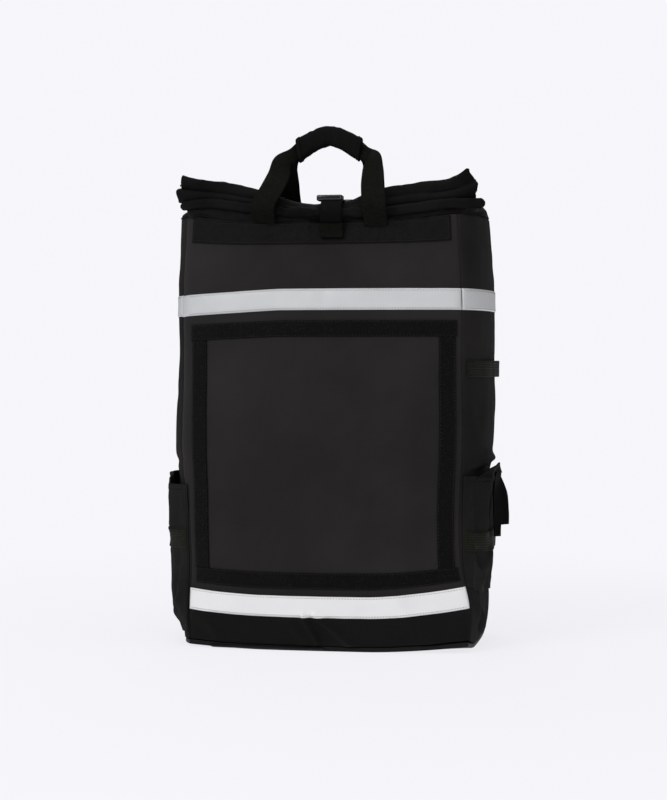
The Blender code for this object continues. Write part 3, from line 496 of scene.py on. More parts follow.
# folds of the front, in metres across and up: from, to, half width, height
frontFolds = (
    (-0.0195, 0.041, -0.0045, 0.013, 0.0036, 0.0058), (-0.004, 0.042, 0.032, 0.013, 0.004, 0.0062),
    (0.104, 0.038, 0.126, 0.016, 0.011, 0.0052), (-0.142, 0.034, -0.128, 0.014, 0.006, 0.0026),
    (-0.036, 0.032, -0.018, 0.012, 0.0045, 0.0018), (0.03, 0.034, 0.04, 0.016, 0.005, 0.0012),
    (0.06, 0.012, 0.14, 0.02, 0.006, -0.0016), (-0.15, 0.03, -0.1, 0.012, 0.008, 0.0014),
    (-0.12, 0.5, -0.11, 0.47, 0.012, 0.0014), (-0.055, 0.506, -0.048, 0.452, 0.01, -0.0014),
    (0.085, 0.505, 0.096, 0.45, 0.013, 0.0016), (0.14, 0.5, 0.128, 0.44, 0.01, -0.0012),
    (-0.1, 0.36, -0.095, 0.11, 0.022, -0.0024), (-0.03, 0.37, -0.04, 0.12, 0.026, 0.0024),
    (0.05, 0.365, 0.058, 0.11, 0.024, -0.0022), (0.11, 0.36, 0.104, 0.11, 0.018, 0.0022),
    (-0.162, 0.39, -0.16, 0.12, 0.006, 0.0012), (0.16, 0.4, 0.162, 0.11, 0.006, 0.0012),
)
# folds of the right side, in metres from the front seam back and up
rightFolds = (
    (0.05, 0.5, 0.06, 0.36, 0.018, -0.0014), (0.12, 0.49, 0.11, 0.37, 0.02, 0.001),
    (0.01, 0.3, 0.02, 0.25, 0.011, 0.001), (0.075, 0.32, 0.065, 0.245, 0.018, -0.0012),
    (0.13, 0.3, 0.14, 0.24, 0.014, 0.0012), (0.0, 0.218, 0.105, 0.224, 0.0042, 0.0034),
    (0.02, 0.212, 0.11, 0.216, 0.004, -0.003), (0.06, 0.234, 0.15, 0.222, 0.005, 0.0028),
    (0.015, 0.06, 0.08, 0.022, 0.008, 0.0056), (0.03, 0.064, 0.055, 0.03, 0.006, -0.005),
    (0.1, 0.06, 0.13, 0.018, 0.01, 0.0026),
)
leftFolds = (
    (0.06, 0.5, 0.07, 0.37, 0.015, -0.002), (0.13, 0.48, 0.12, 0.36, 0.015, 0.0018),
    (0.04, 0.33, 0.05, 0.24, 0.014, 0.0018), (0.11, 0.33, 0.105, 0.24, 0.016, -0.0018),
    (0.15, 0.236, 0.19, 0.214, 0.005, 0.0026), (0.02, 0.226, 0.09, 0.216, 0.005, -0.002),
    (0.02, 0.5, 0.03, 0.44, 0.01, 0.0014),
)
backFolds = (
    (-0.09, 0.38, -0.085, 0.08, 0.02, -0.0012), (0.0, 0.4, 0.004, 0.06, 0.016, -0.0016),
    (0.09, 0.38, 0.086, 0.08, 0.02, -0.0012),
)


def levelAt(z):
    rise = np.asarray(z, float) / bag["top"]
    return [curveThrough(bagLevels[:, 0], bagLevels[:, k], rise) for k in range(1, 9)]


def crown(across):
    return 1 - np.minimum(np.abs(across), 1) ** 2.6


def cornerAt(across, start=0.45):
    return np.clip((across - start) / (1 - start), 0, 1) ** 1.6


def liftFade(z):
    stops = (0, 0.05, 0.13, 0.2, 0.4, 0.7)
    return curveThrough(stops, (0.65, 0.93, 1, 0.5, 0.15, 0), np.asarray(z) / bag["top"])


def topRise(s, z):
    fade = curveThrough((0.86, 0.93, 1.0), (0, 0.35, 1), np.asarray(z) / bag["top"])
    return bag["cornerRise"] * fade * np.minimum(np.abs(s) / 0.96, 1) ** 4


def seamDip(edge):
    # the walls roll in a little at their seams
    return bag["seamPull"] * bell(edge, bag["seamSpread"])


def frontPoint(s, z, out=0.0):
    s, z = paired(s, z)
    width, front, _, bulge, _, _, _, slump = levelAt(z)
    dents = sum(
        depth * np.exp(-((s - a) / spreadA) ** 2 - ((z / bag["top"] - rise) / spreadRise) ** 2)
        for a, rise, spreadA, spreadRise, depth in frontDents
    )
    x = bag["slump"] * slump + s * bag["halfWidth"] * width
    swell = bag["frontBulge"] * bulge * crown(s) - dents * crown(s)
    calm = ramp(1 - np.abs(s), 0.05)
    swell = swell + calm * foldsAt(frontFolds, x, z)
    swell = swell + calm * (0.0011 * softNoise(x, z * 0.6, 0.034, 3) + 0.0006 * softNoise(x, z, 0.013, 4))
    gathers = curveThrough((0.88, 0.965, 1.0), (0, 0.25, 1), z / bag["top"])
    swell = swell + calm * gathers * 0.002 * softNoise(x, z * 0.2, 0.01, 5)
    dip = seamDip((1 - np.abs(s)) * bag["halfWidth"]) * np.where(s < 0, 1 - leftSeam(z) / bag["leftSeam"], 1)
    y = -bag["halfDepth"] * front - swell + dip - out
    lift = liftFade(z) * (bag["rightLift"] * cornerAt(s, 0.3) + bag["leftLift"] * cornerAt(-s))
    return x - np.sign(s) * dip, y, z + lift + topRise(s, z)


def wrapPoint(s, z, out=0.0):
    # the front, going on round its left corner where s passes -1, with the corner softened
    s, z = paired(s, z)
    total = np.zeros((3,) + s.shape)
    for shift, weight in ((-0.05, 0.12), (-0.025, 0.2), (0.0, 0.36), (0.025, 0.2), (0.05, 0.12)):
        at = s + shift * ramp(-0.86 - s, 0.04)
        front = np.array(frontPoint(np.maximum(at, -1), z, out))
        beyond = np.maximum(-1 - at, 0) * bag["halfWidth"] / bag["halfDepth"]
        side = np.array(sidePoint(-1, -1 + beyond, z, out))
        total += weight * np.where(at < -1, side, front)
    return tuple(total)


def leftSeam(z):
    # how far past the corner, as a share of the front's half width, the left seam runs
    rise = ramp(np.asarray(z, float) - 0.14, 0.08)
    return bag["leftSeam"] * eased(rise)


def backPoint(s, z, out=0.0):
    # s runs from the right seam to the left one, as seen from behind
    s, z = paired(s, z)
    width, _, back, _, _, _, bulge, slump = levelAt(z)
    x = bag["slump"] * slump - s * bag["halfWidth"] * width
    calm = ramp(1 - np.abs(s), 0.06)
    swell = bag["backBulge"] * bulge * crown(s)
    swell = swell + calm * (foldsAt(backFolds, x, z) + 0.0006 * softNoise(x, z, 0.03, 9))
    dip = seamDip((1 - np.abs(s)) * bag["halfWidth"])
    return x + np.sign(s) * dip, bag["halfDepth"] * back + swell - dip + out, z + topRise(s, z)


def sidePoint(side, s, z, out=0.0):
    # s runs from the front seam to the back one; side is 1 for the right
    s, z = paired(s, z)
    width, front, back, _, leftBulge, rightBulge, _, slump = levelAt(z)
    bulge = rightBulge if side > 0 else leftBulge
    front, back = bag["halfDepth"] * front, bag["halfDepth"] * back
    y = (back - front) / 2 + s * (back + front) / 2
    calm = ramp(1 - np.abs(s), 0.08)
    swell = bag["sideBulge"] * bulge * crown(s)
    swell = swell + calm * foldsAt(rightFolds if side > 0 else leftFolds, (s + 1) * bag["halfDepth"], z)
    ripple = 0.0012 * softNoise(y, z * 0.8, 0.036, 11 + side) + 0.0004 * softNoise(y, z, 0.014, 14 + side)
    swell = swell + calm * ripple
    seam = np.where(s < 0, -1 + (0 if side > 0 else leftSeam(z) * bag["halfWidth"] / bag["halfDepth"]), 1)
    dip = seamDip((s - seam) * bag["halfDepth"])
    x = bag["slump"] * slump + side * (bag["halfWidth"] * width + swell - dip + out)
    lift = bag["rightLift"] if side > 0 else bag["leftLift"]
    return x, y - np.sign(s) * dip, z + lift * liftFade(z) * cornerAt(-s) + topRise(1.0, z)


def wallPiece(name, node, pointAt, columns, rows, width, material, thickness):
    def placeAt(u, v):
        return pointAt((2 * u - 1) * 0.9985, bag["bottom"] + v * (bag["top"] - bag["bottom"]))

    made = clothGrid(name, columns, rows, (width, bag["top"]), placeAt, material, thickness)
    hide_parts(node)


def frontWallPoint(s, z):
    return wrapPoint(s - leftSeam(z) * np.clip(-s, 0, 1) ** 6, z)


def leftWallPoint(s, z):
    seam = leftSeam(z) * bag["halfWidth"] / bag["halfDepth"]
    return sidePoint(-1, -s + seam * np.clip(s, 0, 1) ** 4, z)


def rightWallPoint(s, z):
    return sidePoint(1, s, z)


wallPiece("frontWall", "front_panel", frontWallPoint, 132, 190, 0.36, "frontCloth", bag["wall"])
wallPiece("backWall", "back_panel", backPoint, 80, 110, 0.34, "backCloth", bag["backWall"])
wallPiece("rightWall", "side_panel_right", rightWallPoint, 84, 190, 0.21, "sideCloth", bag["wall"])
wallPiece("leftWall", "side_panel_left", leftWallPoint, 84, 190, 0.21, "sideCloth", bag["wall"])
print("walls ready")


def footPoint(s, t, z):
    # a point of the body's level section, at shares across it and from its front to its back
    width, front, back, frontBulge, leftBulge, rightBulge, backBulge, slump = levelAt(z)
    sideBulge = np.where(s < 0, leftBulge, rightBulge)
    x = bag["slump"] * slump + s * (bag["halfWidth"] * width + bag["sideBulge"] * sideBulge * crown(t))
    bulge = np.where(t < 0, bag["frontBulge"] * frontBulge, bag["backBulge"] * backBulge)
    reach = np.where(t < 0, bag["halfDepth"] * front, bag["halfDepth"] * back)
    return x, t * (reach + bulge * crown(s))


foot = {"thickness": 0.006, "flapFrom": -0.14, "flapLength": 0.15}


def makeFoot():
    def placeAt(u, v):
        s, t = 2 * u - 1, 1 - 2 * v
        x, y = footPoint(s, t, 0.0)
        lift = bag["rightLift"] * cornerAt(s, 0.3) + bag["leftLift"] * cornerAt(-s)
        return x, y, liftFade(0.0) * lift * cornerAt(-t)

    made = clothGrid("foot", 80, 48, (0.36, 0.2), placeAt, "baseCloth", foot["thickness"])
    edge = made.modifiers.new("roundEdge", "BEVEL")
    edge.width = 0.0018
    edge.segments = 3
    edge.limit_method = "ANGLE"
    edge.angle_limit = math.radians(50)
    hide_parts("base_panel")


def makeFlap():
    # the rounded end of the base's edge, showing under the lifted left corner
    def placeAt(u, v):
        x = foot["flapFrom"] + v * foot["flapLength"]
        near = np.sqrt(np.clip(np.minimum(v, 1 - v) * foot["flapLength"] / 0.007, 0.02, 1))
        angle = 2 * math.pi * u
        y = footPoint(x / bag["halfWidth"], -1.0, 0.0)[1] + 0.0075
        return x, y + 0.01 * near * np.cos(angle), 0.0031 + 0.0029 * near * np.sin(angle)

    clothGrid("baseFlap", 20, 90, (0.03, foot["flapLength"]), placeAt, "baseCloth", joined=True, capped=True)


makeFoot()
makeFlap()


# tapes and strips sewn on the front and sides: high is how far each stands off the cloth
tapes = {
    "width": 0.0255, "upper": 0.4045, "lower": 0.0405, "thickness": 0.0006, "leftDrop": 0.006, "edge": 0.0022,
    "high": 0.0012, "sink": 0.0004, "sinkSpread": 0.0009, "threadHigh": 0.00125,
    "stripTop": 0.5094, "stripWidth": 0.026, "stripHalf": 0.158, "stripMore": 0.008, "stripHigh": 0.0019,
    "pileWidth": 0.0195, "pileHalf": 0.16, "pileBottom": 0.0745, "pileTop": 0.3925, "pile": 0.0018,
    "pileHigh": 0.0021, "pileDrop": 0.8,
}
seamEnd = 1 + 0.0003 / bag["halfWidth"]
tapeEdges = (("Low", tapes["edge"]), ("High", tapes["width"] - tapes["edge"]))


def upperDrop(s):
    return -tapes["leftDrop"] * np.clip(-np.asarray(s) - 0.3, 0, 1) / 0.7


def lineAt(z, drop=0.0):
    # a line across the front at one height, falling to the left by a share of the upper tape's drop
    return lambda s: z + drop * upperDrop(s)


def frontStrip(name, nodes, fromS, toS, bottomAt, topAt, high, material, columns, rows, thickness, sink):
    # a strip on the front between two lines; its edges turn down onto the cloth
    def placeAt(u, v):
        s = fromS + u * (toS - fromS)
        low, top = bottomAt(s), topAt(s)
        z = low + v * (top - low)
        edge = np.minimum(v, 1 - v) * np.abs(top - low)
        edge = np.minimum(edge, np.minimum(u, 1 - u) * (toS - fromS) * bag["halfWidth"])
        return wrapPoint(s, z, high - sink * bell(edge, tapes["sinkSpread"]))

    size = ((toS - fromS) * bag["halfWidth"], float(topAt(0.0) - bottomAt(0.0)))
    made = clothGrid(name, columns, rows, size, placeAt, material, thickness)
    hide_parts(*nodes)


def stitchFront(name, fromS, toS, zAt, high, material="dimThread", pitch=stitch["pitch"]):
    s = np.linspace(fromS, toS, 90)
    stitchRow(name, frontPoint(s, zAt(s), high), (0, -1, 0), material, pitch)


def stitchUp(name, s, fromZ, toZ, high, pitch=stitch["pitch"]):
    stitchRow(name, frontPoint(s, np.linspace(fromZ, toZ, 60), high), (0, -1, 0), "dimThread", pitch)


def makeFrontTapes():
    for word, start, drop, material in (
        ("upper", -1 - float(leftSeam(0.4)), 1.0, "silverTape"), ("lower", -seamEnd, 0.0, "whiteTape"),
    ):
        low, top = lineAt(tapes[word], drop), lineAt(tapes[word] + tapes["width"], drop)
        frontStrip(
            word + "Tape", ("reflective_tape_" + word,), start, seamEnd, low, top,
            tapes["high"], material, 132, 8, tapes["thickness"], tapes["sink"],
        )


def stitchFrontTapes():
    for word, drop in (("upper", 1.0), ("lower", 0.0)):
        for edge, inset in tapeEdges:
            line = lineAt(tapes[word] + inset, drop)
            stitchFront(word + "TapeStitch" + edge, -0.985, 0.985, line, tapes["threadHigh"], "greyThread")


def makeTopStrip():
    top, end, high = tapes["stripTop"], tapes["stripHalf"] / bag["halfWidth"], tapes["stripHigh"]
    start = -end - tapes["stripMore"] / bag["halfWidth"]
    frontStrip(
        "topStrip", ("top_strip",), start, end, lineAt(top - tapes["stripWidth"]), lineAt(top),
        high, "stripWebbing", 130, 9, 0.0016, 0.0006,
    )
    fromS, toS = start + 0.015, end - 0.015
    for word, inset in (("Low", 0.0238), ("High", 0.0022)):
        stitchFront("topStripStitch" + word, fromS, toS, lineAt(top - inset), high + 0.0001)
    for word, s in (("Left", fromS), ("Right", toS)):
        stitchUp("topStripStitchEnd" + word, s, top - 0.0238, top - 0.0024, high + 0.0001)


makeFrontTapes()
stitchFrontTapes()
makeTopStrip()


def sideTape(name, node, side, low):
    def placeAt(u, v):
        start = -seamEnd if side > 0 else -1 + float(leftSeam(0.4)) * bag["halfWidth"] / bag["halfDepth"]
        share = u if side > 0 else 1 - u
        s = start + share * (seamEnd - start)
        edge = np.minimum(v, 1 - v) * tapes["width"]
        out = tapes["high"] - tapes["sink"] * bell(edge, tapes["sinkSpread"])
        return sidePoint(side, s, low + v * tapes["width"], out)

    made = clothGrid(name, 84, 8, (0.19, tapes["width"]), placeAt, "silverTape", tapes["thickness"])
    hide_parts(node)
    for word, inset in tapeEdges:
        s = np.linspace(-0.97 if side > 0 else -0.83, 0.97, 60)
        places = sidePoint(side, s, low + inset, tapes["threadHigh"])
        stitchRow(name + "Stitch" + word, places, (side, 0, 0), "greyThread")


sideTape("upperTapeRight", "reflective_tape_upper_right", 1, tapes["upper"])
sideTape("upperTapeLeft", "reflective_tape_upper_left", -1, tapes["upper"] - tapes["leftDrop"])
print("tapes ready")


def makePile():
    outer = tapes["pileHalf"] / bag["halfWidth"]
    inner = outer - tapes["pileWidth"] / bag["halfWidth"]
    bottom, top, wide, drop = tapes["pileBottom"], tapes["pileTop"], tapes["pileWidth"], tapes["pileDrop"]
    high = tapes["pileHigh"]
    level = {"high": high, "material": "loopPile", "thickness": tapes["pile"], "sink": 0.0009}
    frontStrip("pileTop", ("loop_tape_top",), -outer - 0.01, outer + 0.01,
               lineAt(top - wide, drop), lineAt(top, drop), columns=130, rows=8, **level)
    frontStrip("pileBottom", ("loop_tape_bottom",), -outer + 0.006, outer + 0.02,
               lineAt(bottom), lineAt(bottom + wide), columns=130, rows=8, **level)
    for word, fromS, toS in (("Left", -outer, -inner), ("Right", inner, outer)):
        frontStrip("pile" + word, ("loop_tape_" + word.lower(),), fromS, toS,
                   lineAt(bottom + wide + 0.0003), lineAt(top - wide - 0.0003, drop),
                   columns=8, rows=120, **level)
        for edge, s in (("Outer", fromS + 0.01), ("Inner", toS - 0.01)):
            stitchUp("pile" + word + "Stitch" + edge, s, bottom + wide + 0.002, top - wide - 0.006, high,
                     pitch=stitch["long"])
    for word, low, ends, fall in (("Top", top - wide, outer, drop), ("Bottom", bottom, outer - 0.004, 0.0)):
        for edge, inset in (("Low", 0.0016), ("High", wide - 0.0016)):
            stitchFront("pile" + word + "Stitch" + edge, -ends, ends, lineAt(low + inset, fall), high,
                        pitch=stitch["long"])


makePile()
print("pile strips ready")


# straps: webbing with rounded selvedges along a line
bandSteps = {"flat": 10, "round": 4}


def lineThrough(rows, count):
    # evenly spaced stations along the smooth line through the rows, whose first columns are x, y, z
    rows = np.asarray(rows, float)
    run = np.concatenate([[0], np.cumsum(np.linalg.norm(np.diff(rows[:, :3], axis=0), axis=1))])
    at = np.linspace(0, run[-1], count)
    return np.stack([curveThrough(run, rows[:, k], at) for k in range(rows.shape[1])], -1)


def strapFrame(middle, across):
    forward = np.gradient(middle, axis=0)
    forward /= np.linalg.norm(forward, axis=1)[:, None]
    across = np.broadcast_to(across, middle.shape)
    across = across - forward * (across * forward).sum(1)[:, None]
    across /= np.linalg.norm(across, axis=1)[:, None]
    return across, np.cross(across, forward)


def roundedBand(u, width, thickness):
    # a flat band's outline with half-round edges, from the middle of its back
    flat, total = width - thickness, 2 * bandSteps["flat"] + 2 * bandSteps["round"]
    stops = np.array((0, 0.5, 0.5, 1.5, 1.5, 2.0)) * bandSteps["flat"]
    stops = stops + np.array((0, 0, 1, 1, 2, 2)) * bandSteps["round"]
    part = np.clip(np.searchsorted(stops, u * total, side="right") - 1, 0, 4)
    share = (u * total - stops[part]) / (stops[part + 1] - stops[part])
    turnAt = np.where(part == 1, -math.pi / 2 + share * math.pi, math.pi / 2 + share * math.pi)
    side = np.where(part == 1, 1.0, -1.0)
    along = share * flat
    along = np.choose(part, (along / 2, 0 * u, flat / 2 - along, 0 * u, -flat / 2 + along / 2))
    atEdge = (part == 1) | (part == 3)
    a = np.where(atEdge, side * flat / 2 + thickness / 2 * np.cos(turnAt), along)
    b = np.where(atEdge, thickness / 2 * np.sin(turnAt), np.where(part == 2, thickness / 2, -thickness / 2))
    return a, b


def strap(name, nodes, middle, across, widths, thickness, material, bow=0.0, wave=0.0, seed=0, turned=False):
    # a strap along the middle line; bow lifts its middle, wave lets its edges wander a little
    across, normal = strapFrame(middle, across)
    count = len(middle)
    widths = np.broadcast_to(widths, count).astype(float)
    bows = np.broadcast_to(bow, count)
    length = float(np.linalg.norm(np.diff(middle, axis=0), axis=1).sum())

    def placeAt(u, v):
        k = np.rint(v * (count - 1)).astype(int)
        a, b = roundedBand(u, widths[k], thickness)
        share = 2 * a / widths[k]
        lift = b + bows[k] * (1 - share * share)
        lift = lift + wave * softNoise(share * 0.02, v * length, 0.016, 40 + seed)
        side = a + wave * 0.5 * softNoise(v * length, 0 * v, 0.03, 60 + seed)
        return tuple((middle[k] + across[k] * side[:, None] + normal[k] * lift[:, None]).T)

    columns = 2 * bandSteps["flat"] + 2 * bandSteps["round"]
    scale = float(widths.mean() - thickness) * columns / bandSteps["flat"]
    made = clothGrid(
        name, columns, count - 1, (scale, length), placeAt, material, joined=True, capped=True, turned=turned
    )
    if nodes:
        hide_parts(*nodes)
    return {
        "middle": middle, "across": across, "normal": normal, "widths": widths, "bows": bows,
        "length": length, "thickness": thickness, "name": name,
    }


def onStrap(band, share, v, out):
    # points on a strap, at shares of its half width and of its length, on the side that out points to
    share, v = paired(share, v)
    stations = np.linspace(0, 1, len(band["middle"]))

    def pick(table):
        return np.stack([np.interp(v, stations, table[:, k]) for k in range(3)], -1)

    width = np.interp(v, stations, band["widths"])
    lift = math.copysign(band["thickness"] / 2, out) + out
    lift = lift + np.interp(v, stations, band["bows"]) * (1 - share ** 2)
    across, normal = pick(band["across"]), pick(band["normal"])
    return pick(band["middle"]) + across * (share * width / 2)[:, None] + normal * lift[:, None]


def stitchStrap(band, rows, toward, word="Stitch", material="darkThread", pitch=stitch["pitch"],
                radius=stitch["thick"]):
    # stitch lines on the face towards a direction: each from (share across, share along) to another
    for number, (fromA, fromB, toA, toB) in enumerate(rows):
        normal = band["normal"][round((fromB + toB) / 2 * (len(band["normal"]) - 1))]
        facing = math.copysign(1, normal @ np.array(toward, float))
        places = onStrap(band, np.linspace(fromA, toA, 24), np.linspace(fromB, toB, 24), facing * 0.0001)
        stitchRow(band["name"] + word + str(number), places.T, normal * facing, material, pitch, radius)


def acrossRows(*heights, half=0.84):
    # straight stitch lines across a strap, at shares of its length
    return [(-half, height, half, height) for height in heights]


def edgeRows(low, high, half=0.84):
    # a stitch line along each edge of a strap
    return [(-half, low, -half, high), (half, low, half, high)]


# the roll: a doubled cloth that winds inwards, with its crest, valley and hems
roll = {
    "half": 0.1795, "base": 0.0042, "height": 0.046, "depth": 0.048, "cloth": 0.0022, "turns": 1.55,
    "lip": 0.006, "pastLeft": 0.001, "pastRight": 0.0125, "press": 0.0013, "gap": 0.0003, "hem": 0.0085,
    "strapX": 0.0133,
}
# along, bottom, top, lip, depth, forward
rollStations = np.array((
    (-1.0, 0.42, 1.2, 0.28, 0.5, 0.82), (-0.8, 0.34, 1.02, 0.32, 0.64, 0.9),
    (-0.5, 0.2, 0.76, 0.16, 0.86, 0.94), (-0.18, 0.03, 0.43, 0.02, 1.0, 0.96),
    (0.12, 0.0, 0.37, 0.0, 1.0, 0.96), (0.34, 0.02, 0.62, 0.0, 0.96, 0.95),
    (0.6, 0.12, 0.87, 0.1, 0.84, 0.92), (0.82, 0.24, 0.95, 0.22, 0.66, 0.87),
    (1.0, 0.34, 1.26, 0.25, 0.5, 0.8),
))


def rollFrame(x):
    # the roll's section at x: its middle, half depth, half height and the height of its lip
    share = np.asarray(x, float) / roll["half"]
    bottom, top, lip, depth, forward = (
        curveThrough(rollStations[:, 0], rollStations[:, k], share) for k in range(1, 6)
    )
    footZ = bag["top"] + roll["base"]
    halfDepth = roll["depth"] * depth / 2
    front = -bag["halfDepth"] * forward - bag["frontBulge"] * 0.55 * crown(np.clip(share, -1, 1))
    bottom, top = footZ + roll["height"] * bottom, footZ + roll["height"] * top
    lipZ = footZ + roll["height"] * lip + roll["lip"]
    return front + halfDepth, (bottom + top) / 2, halfDepth, (top - bottom) / 2, lipZ


# creases of the roll, in metres along it and turns round it: from, to, half width, height
rollFolds = (
    (-0.176, 0.36, -0.12, 0.44, 0.006, 0.0016), (-0.165, 0.3, -0.08, 0.4, 0.007, -0.0018),
    (-0.14, 0.28, -0.06, 0.36, 0.006, 0.0014), (0.06, 0.34, 0.11, 0.42, 0.007, 0.0018),
    (0.07, 0.28, 0.15, 0.38, 0.007, -0.0018), (0.12, 0.3, 0.178, 0.44, 0.006, 0.0016),
    (0.05, 0.24, 0.09, 0.3, 0.005, 0.0014), (-0.06, 0.26, -0.02, 0.34, 0.006, -0.0012),
)


def rollPoint(x, wind, out=0.0):
    middleY, middleZ, halfDepth, halfHeight, _ = rollFrame(x)
    turns = roll["turns"] * wind
    angle = -math.pi / 2 + 2 * math.pi * turns
    reach = np.interp(wind, (0, 0.46, 0.64, 1), (1, 1, 0.6, 0.4))
    # 0.25 on top and 0.5 in front
    face = turns - 0.25
    outer = ramp(0.78 - face, 0.1)
    tall = np.clip(halfHeight / 0.01 - 0.6, 0, 1)
    crease = foldsRound(rollFolds, x, face, 0.1)
    ripple = 0.0012 * softNoise(x, turns * 0.05, 0.018, 21) + 0.0005 * softNoise(x, turns * 0.08, 0.007, 22)
    valley = np.where(x < 0, 0.0105, 0.0065) * bell(face - 0.43, 0.06) * tall
    crest = 0.0026 * bell(face - 0.31, 0.035) * tall
    swell = out + outer * (crease + ripple + crest - valley)
    y = middleY + (halfDepth * reach + swell) * np.cos(angle)
    z = middleZ + (halfHeight * reach + swell) * np.sin(angle)
    # the hems are ragged, and their lower layers stand further out
    share = x / roll["half"]
    ragged = 0.0016 * softNoise(turns * 0.2, 0 * turns, 0.01, 25)
    right, left = (ramp(side * share - 0.82, 0.18) ** 1.5 for side in (1, -1))
    reachRight = np.interp(face, (0.2, 0.33, 0.39, 0.47, 0.56), (-0.0088, -0.0085, -0.001, 0.0042, 0.0004))
    reachLeft = np.interp(face, (0.28, 0.4, 0.5, 0.6), (0.0, 0.0012, 0.0062, 0.0034))
    return x + right * (reachRight + ragged) - left * (reachLeft + ragged), y, z


def makeRoll():
    def placeAt(u, v):
        x = (2 * u - 1) * roll["half"]
        return rollPoint(x, 1 - v)

    made = clothGrid("rollCloth", 150, 96, (0.36, 0.3), placeAt, "collarCloth", roll["cloth"], offset=1.0)
    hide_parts("roll_top")
    for side in (-1, 1):
        def hemAt(u, v, side=side):
            x = side * (roll["half"] - 0.0002 - roll["hem"] * u)
            return rollPoint(x, 0.12 + 0.42 * v, 0.0011 - 0.0009 * np.maximum(2 * u - 1, 0) ** 6)

        clothGrid("rollHem" + sideWords[side], 14, 60, (roll["hem"], 0.07), hemAt, "neckCloth", 0.0005)
        for number, inset in enumerate((0.0016, 0.0074)):
            wind = np.linspace(0.14, 0.52, 60)
            places = rollPoint(np.full_like(wind, side * (roll["half"] - inset)), wind, 0.0013)
            name = f"rollHemStitch{sideWords[side]}{number}"
            stitchRow(name, places, (0, -0.7, 0.7), pitch=stitch["short"])


def lipMiddle(x):
    middleY, middleZ, halfDepth, halfHeight, lipZ = rollFrame(x)
    out = roll["lip"] + roll["gap"] - roll["press"]
    rise = np.clip((lipZ - middleZ) / (halfHeight + out), -1, 1)
    return middleY - (halfDepth + out) * np.sqrt(1 - rise * rise), lipZ


# creases across the lip, in metres along it and turns round it: from, to, half width, height
lipFolds = (
    (-0.15, 0.3, -0.142, 0.62, 0.004, -0.0012), (-0.096, 0.25, -0.084, 0.6, 0.0045, -0.0014),
    (-0.044, 0.3, -0.05, 0.7, 0.0035, -0.0016), (-0.026, 0.3, -0.03, 0.7, 0.003, 0.0014),
    (-0.008, 0.25, -0.006, 0.75, 0.003, -0.002), (0.03, 0.3, 0.034, 0.7, 0.0035, -0.0016),
    (0.054, 0.3, 0.064, 0.64, 0.0045, 0.0016), (0.098, 0.25, 0.11, 0.7, 0.0045, -0.0012),
    (0.14, 0.3, 0.136, 0.68, 0.004, 0.0012), (0.16, 0.25, 0.172, 0.7, 0.004, -0.0014),
)


def lipPoint(x, turns, out=0.0):
    y, z = lipMiddle(x)
    angle = 2 * math.pi * turns
    flatten = 1 - 0.16 * np.abs(np.cos(angle)) ** 3
    middle = np.exp(-((x + 0.005) / 0.06) ** 4)
    crease = foldsRound(lipFolds, x, turns, 0.04)
    ripple = 0.0005 * softNoise(x, np.sin(angle) * 0.006, 0.009, 31)
    ripple = ripple + 0.0006 * softNoise(x, np.cos(angle) * 0.006, 0.03, 32)
    pinch = bell(x - roll["strapX"], 0.016)
    near = np.minimum(x + roll["half"] + roll["pastLeft"], roll["half"] + roll["pastRight"] - x)
    taper = np.sqrt(np.clip(near / 0.005 + 0.1, 0.1, 1))
    radius = roll["lip"] * flatten * (1 - 0.12 * pinch) + crease * (0.35 + 0.65 * middle) + ripple
    radius = radius * taper + out
    return x, y + radius * np.cos(angle) * 0.96, z + radius * np.sin(angle) * (1 - 0.1 * pinch)


def makeLip():
    def placeAt(u, v):
        x = -roll["half"] - roll["pastLeft"] + v * (2 * roll["half"] + roll["pastLeft"] + roll["pastRight"])
        return lipPoint(x, u)

    made = clothGrid("lipCloth", 36, 220, (0.038, 0.37), placeAt, "collarCloth", joined=True, capped=True)
    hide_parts("roll_lip")
    x = np.linspace(-roll["half"] + 0.004, roll["half"] + 0.008, 160)
    stitchRow("lipStitch", lipPoint(x, np.full_like(x, 0.44), 0.0002), (0, -1, 0.3), pitch=0.0036)


def makeNeck():
    # the cloth gathered under the lip: from the wall tops up to the roll, and round both corners
    def placeAt(u, v):
        path = 2 * u - 1
        side = np.sign(path)
        s = np.clip(path / 0.72, -1, 1)
        past = ramp(np.abs(path) - 0.72, 0.28)
        wallTop = (bag["top"] - 0.0006, -0.0004)
        right, left = (np.array(sidePoint(way, -1 + past, *wallTop)) for way in (1, -1))
        low = np.where(past > 0, np.where(path > 0, right, left), np.array(frontPoint(s, *wallTop)))
        lipX = s * (roll["half"] - 0.004)
        lipY, lipZ = lipMiddle(lipX)
        lift = ramp(past, 0.6)
        high = np.array((
            lipX - side * lift * 0.002,
            lipY + 0.0035 + lift * 0.05,
            lipZ - 0.002 * (1 - lift) + lift * 0.004,
        ))
        closed = ramp(past - 0.55, 0.45)
        high = high * (1 - closed) + (low + np.array((0, 0, 0.0015))[:, None]) * closed
        x, y, z = low * (1 - v) + high * v
        gathers = 0.0016 * softNoise(path * 0.22, v * 0.004, 0.0085, 35) + 0.0012
        gathers = gathers + 0.001 * softNoise(path * 0.22, v * 0.01, 0.004, 36)
        puff = np.sin(math.pi * v) ** 0.8 * gathers
        return x + side * past * puff, y - (1 - past) * puff, z

    clothGrid("gatheredNeck", 240, 12, (0.46, 0.02), placeAt, "neckCloth", 0.001)


makeRoll()
makeLip()
makeNeck()
print("roll ready")


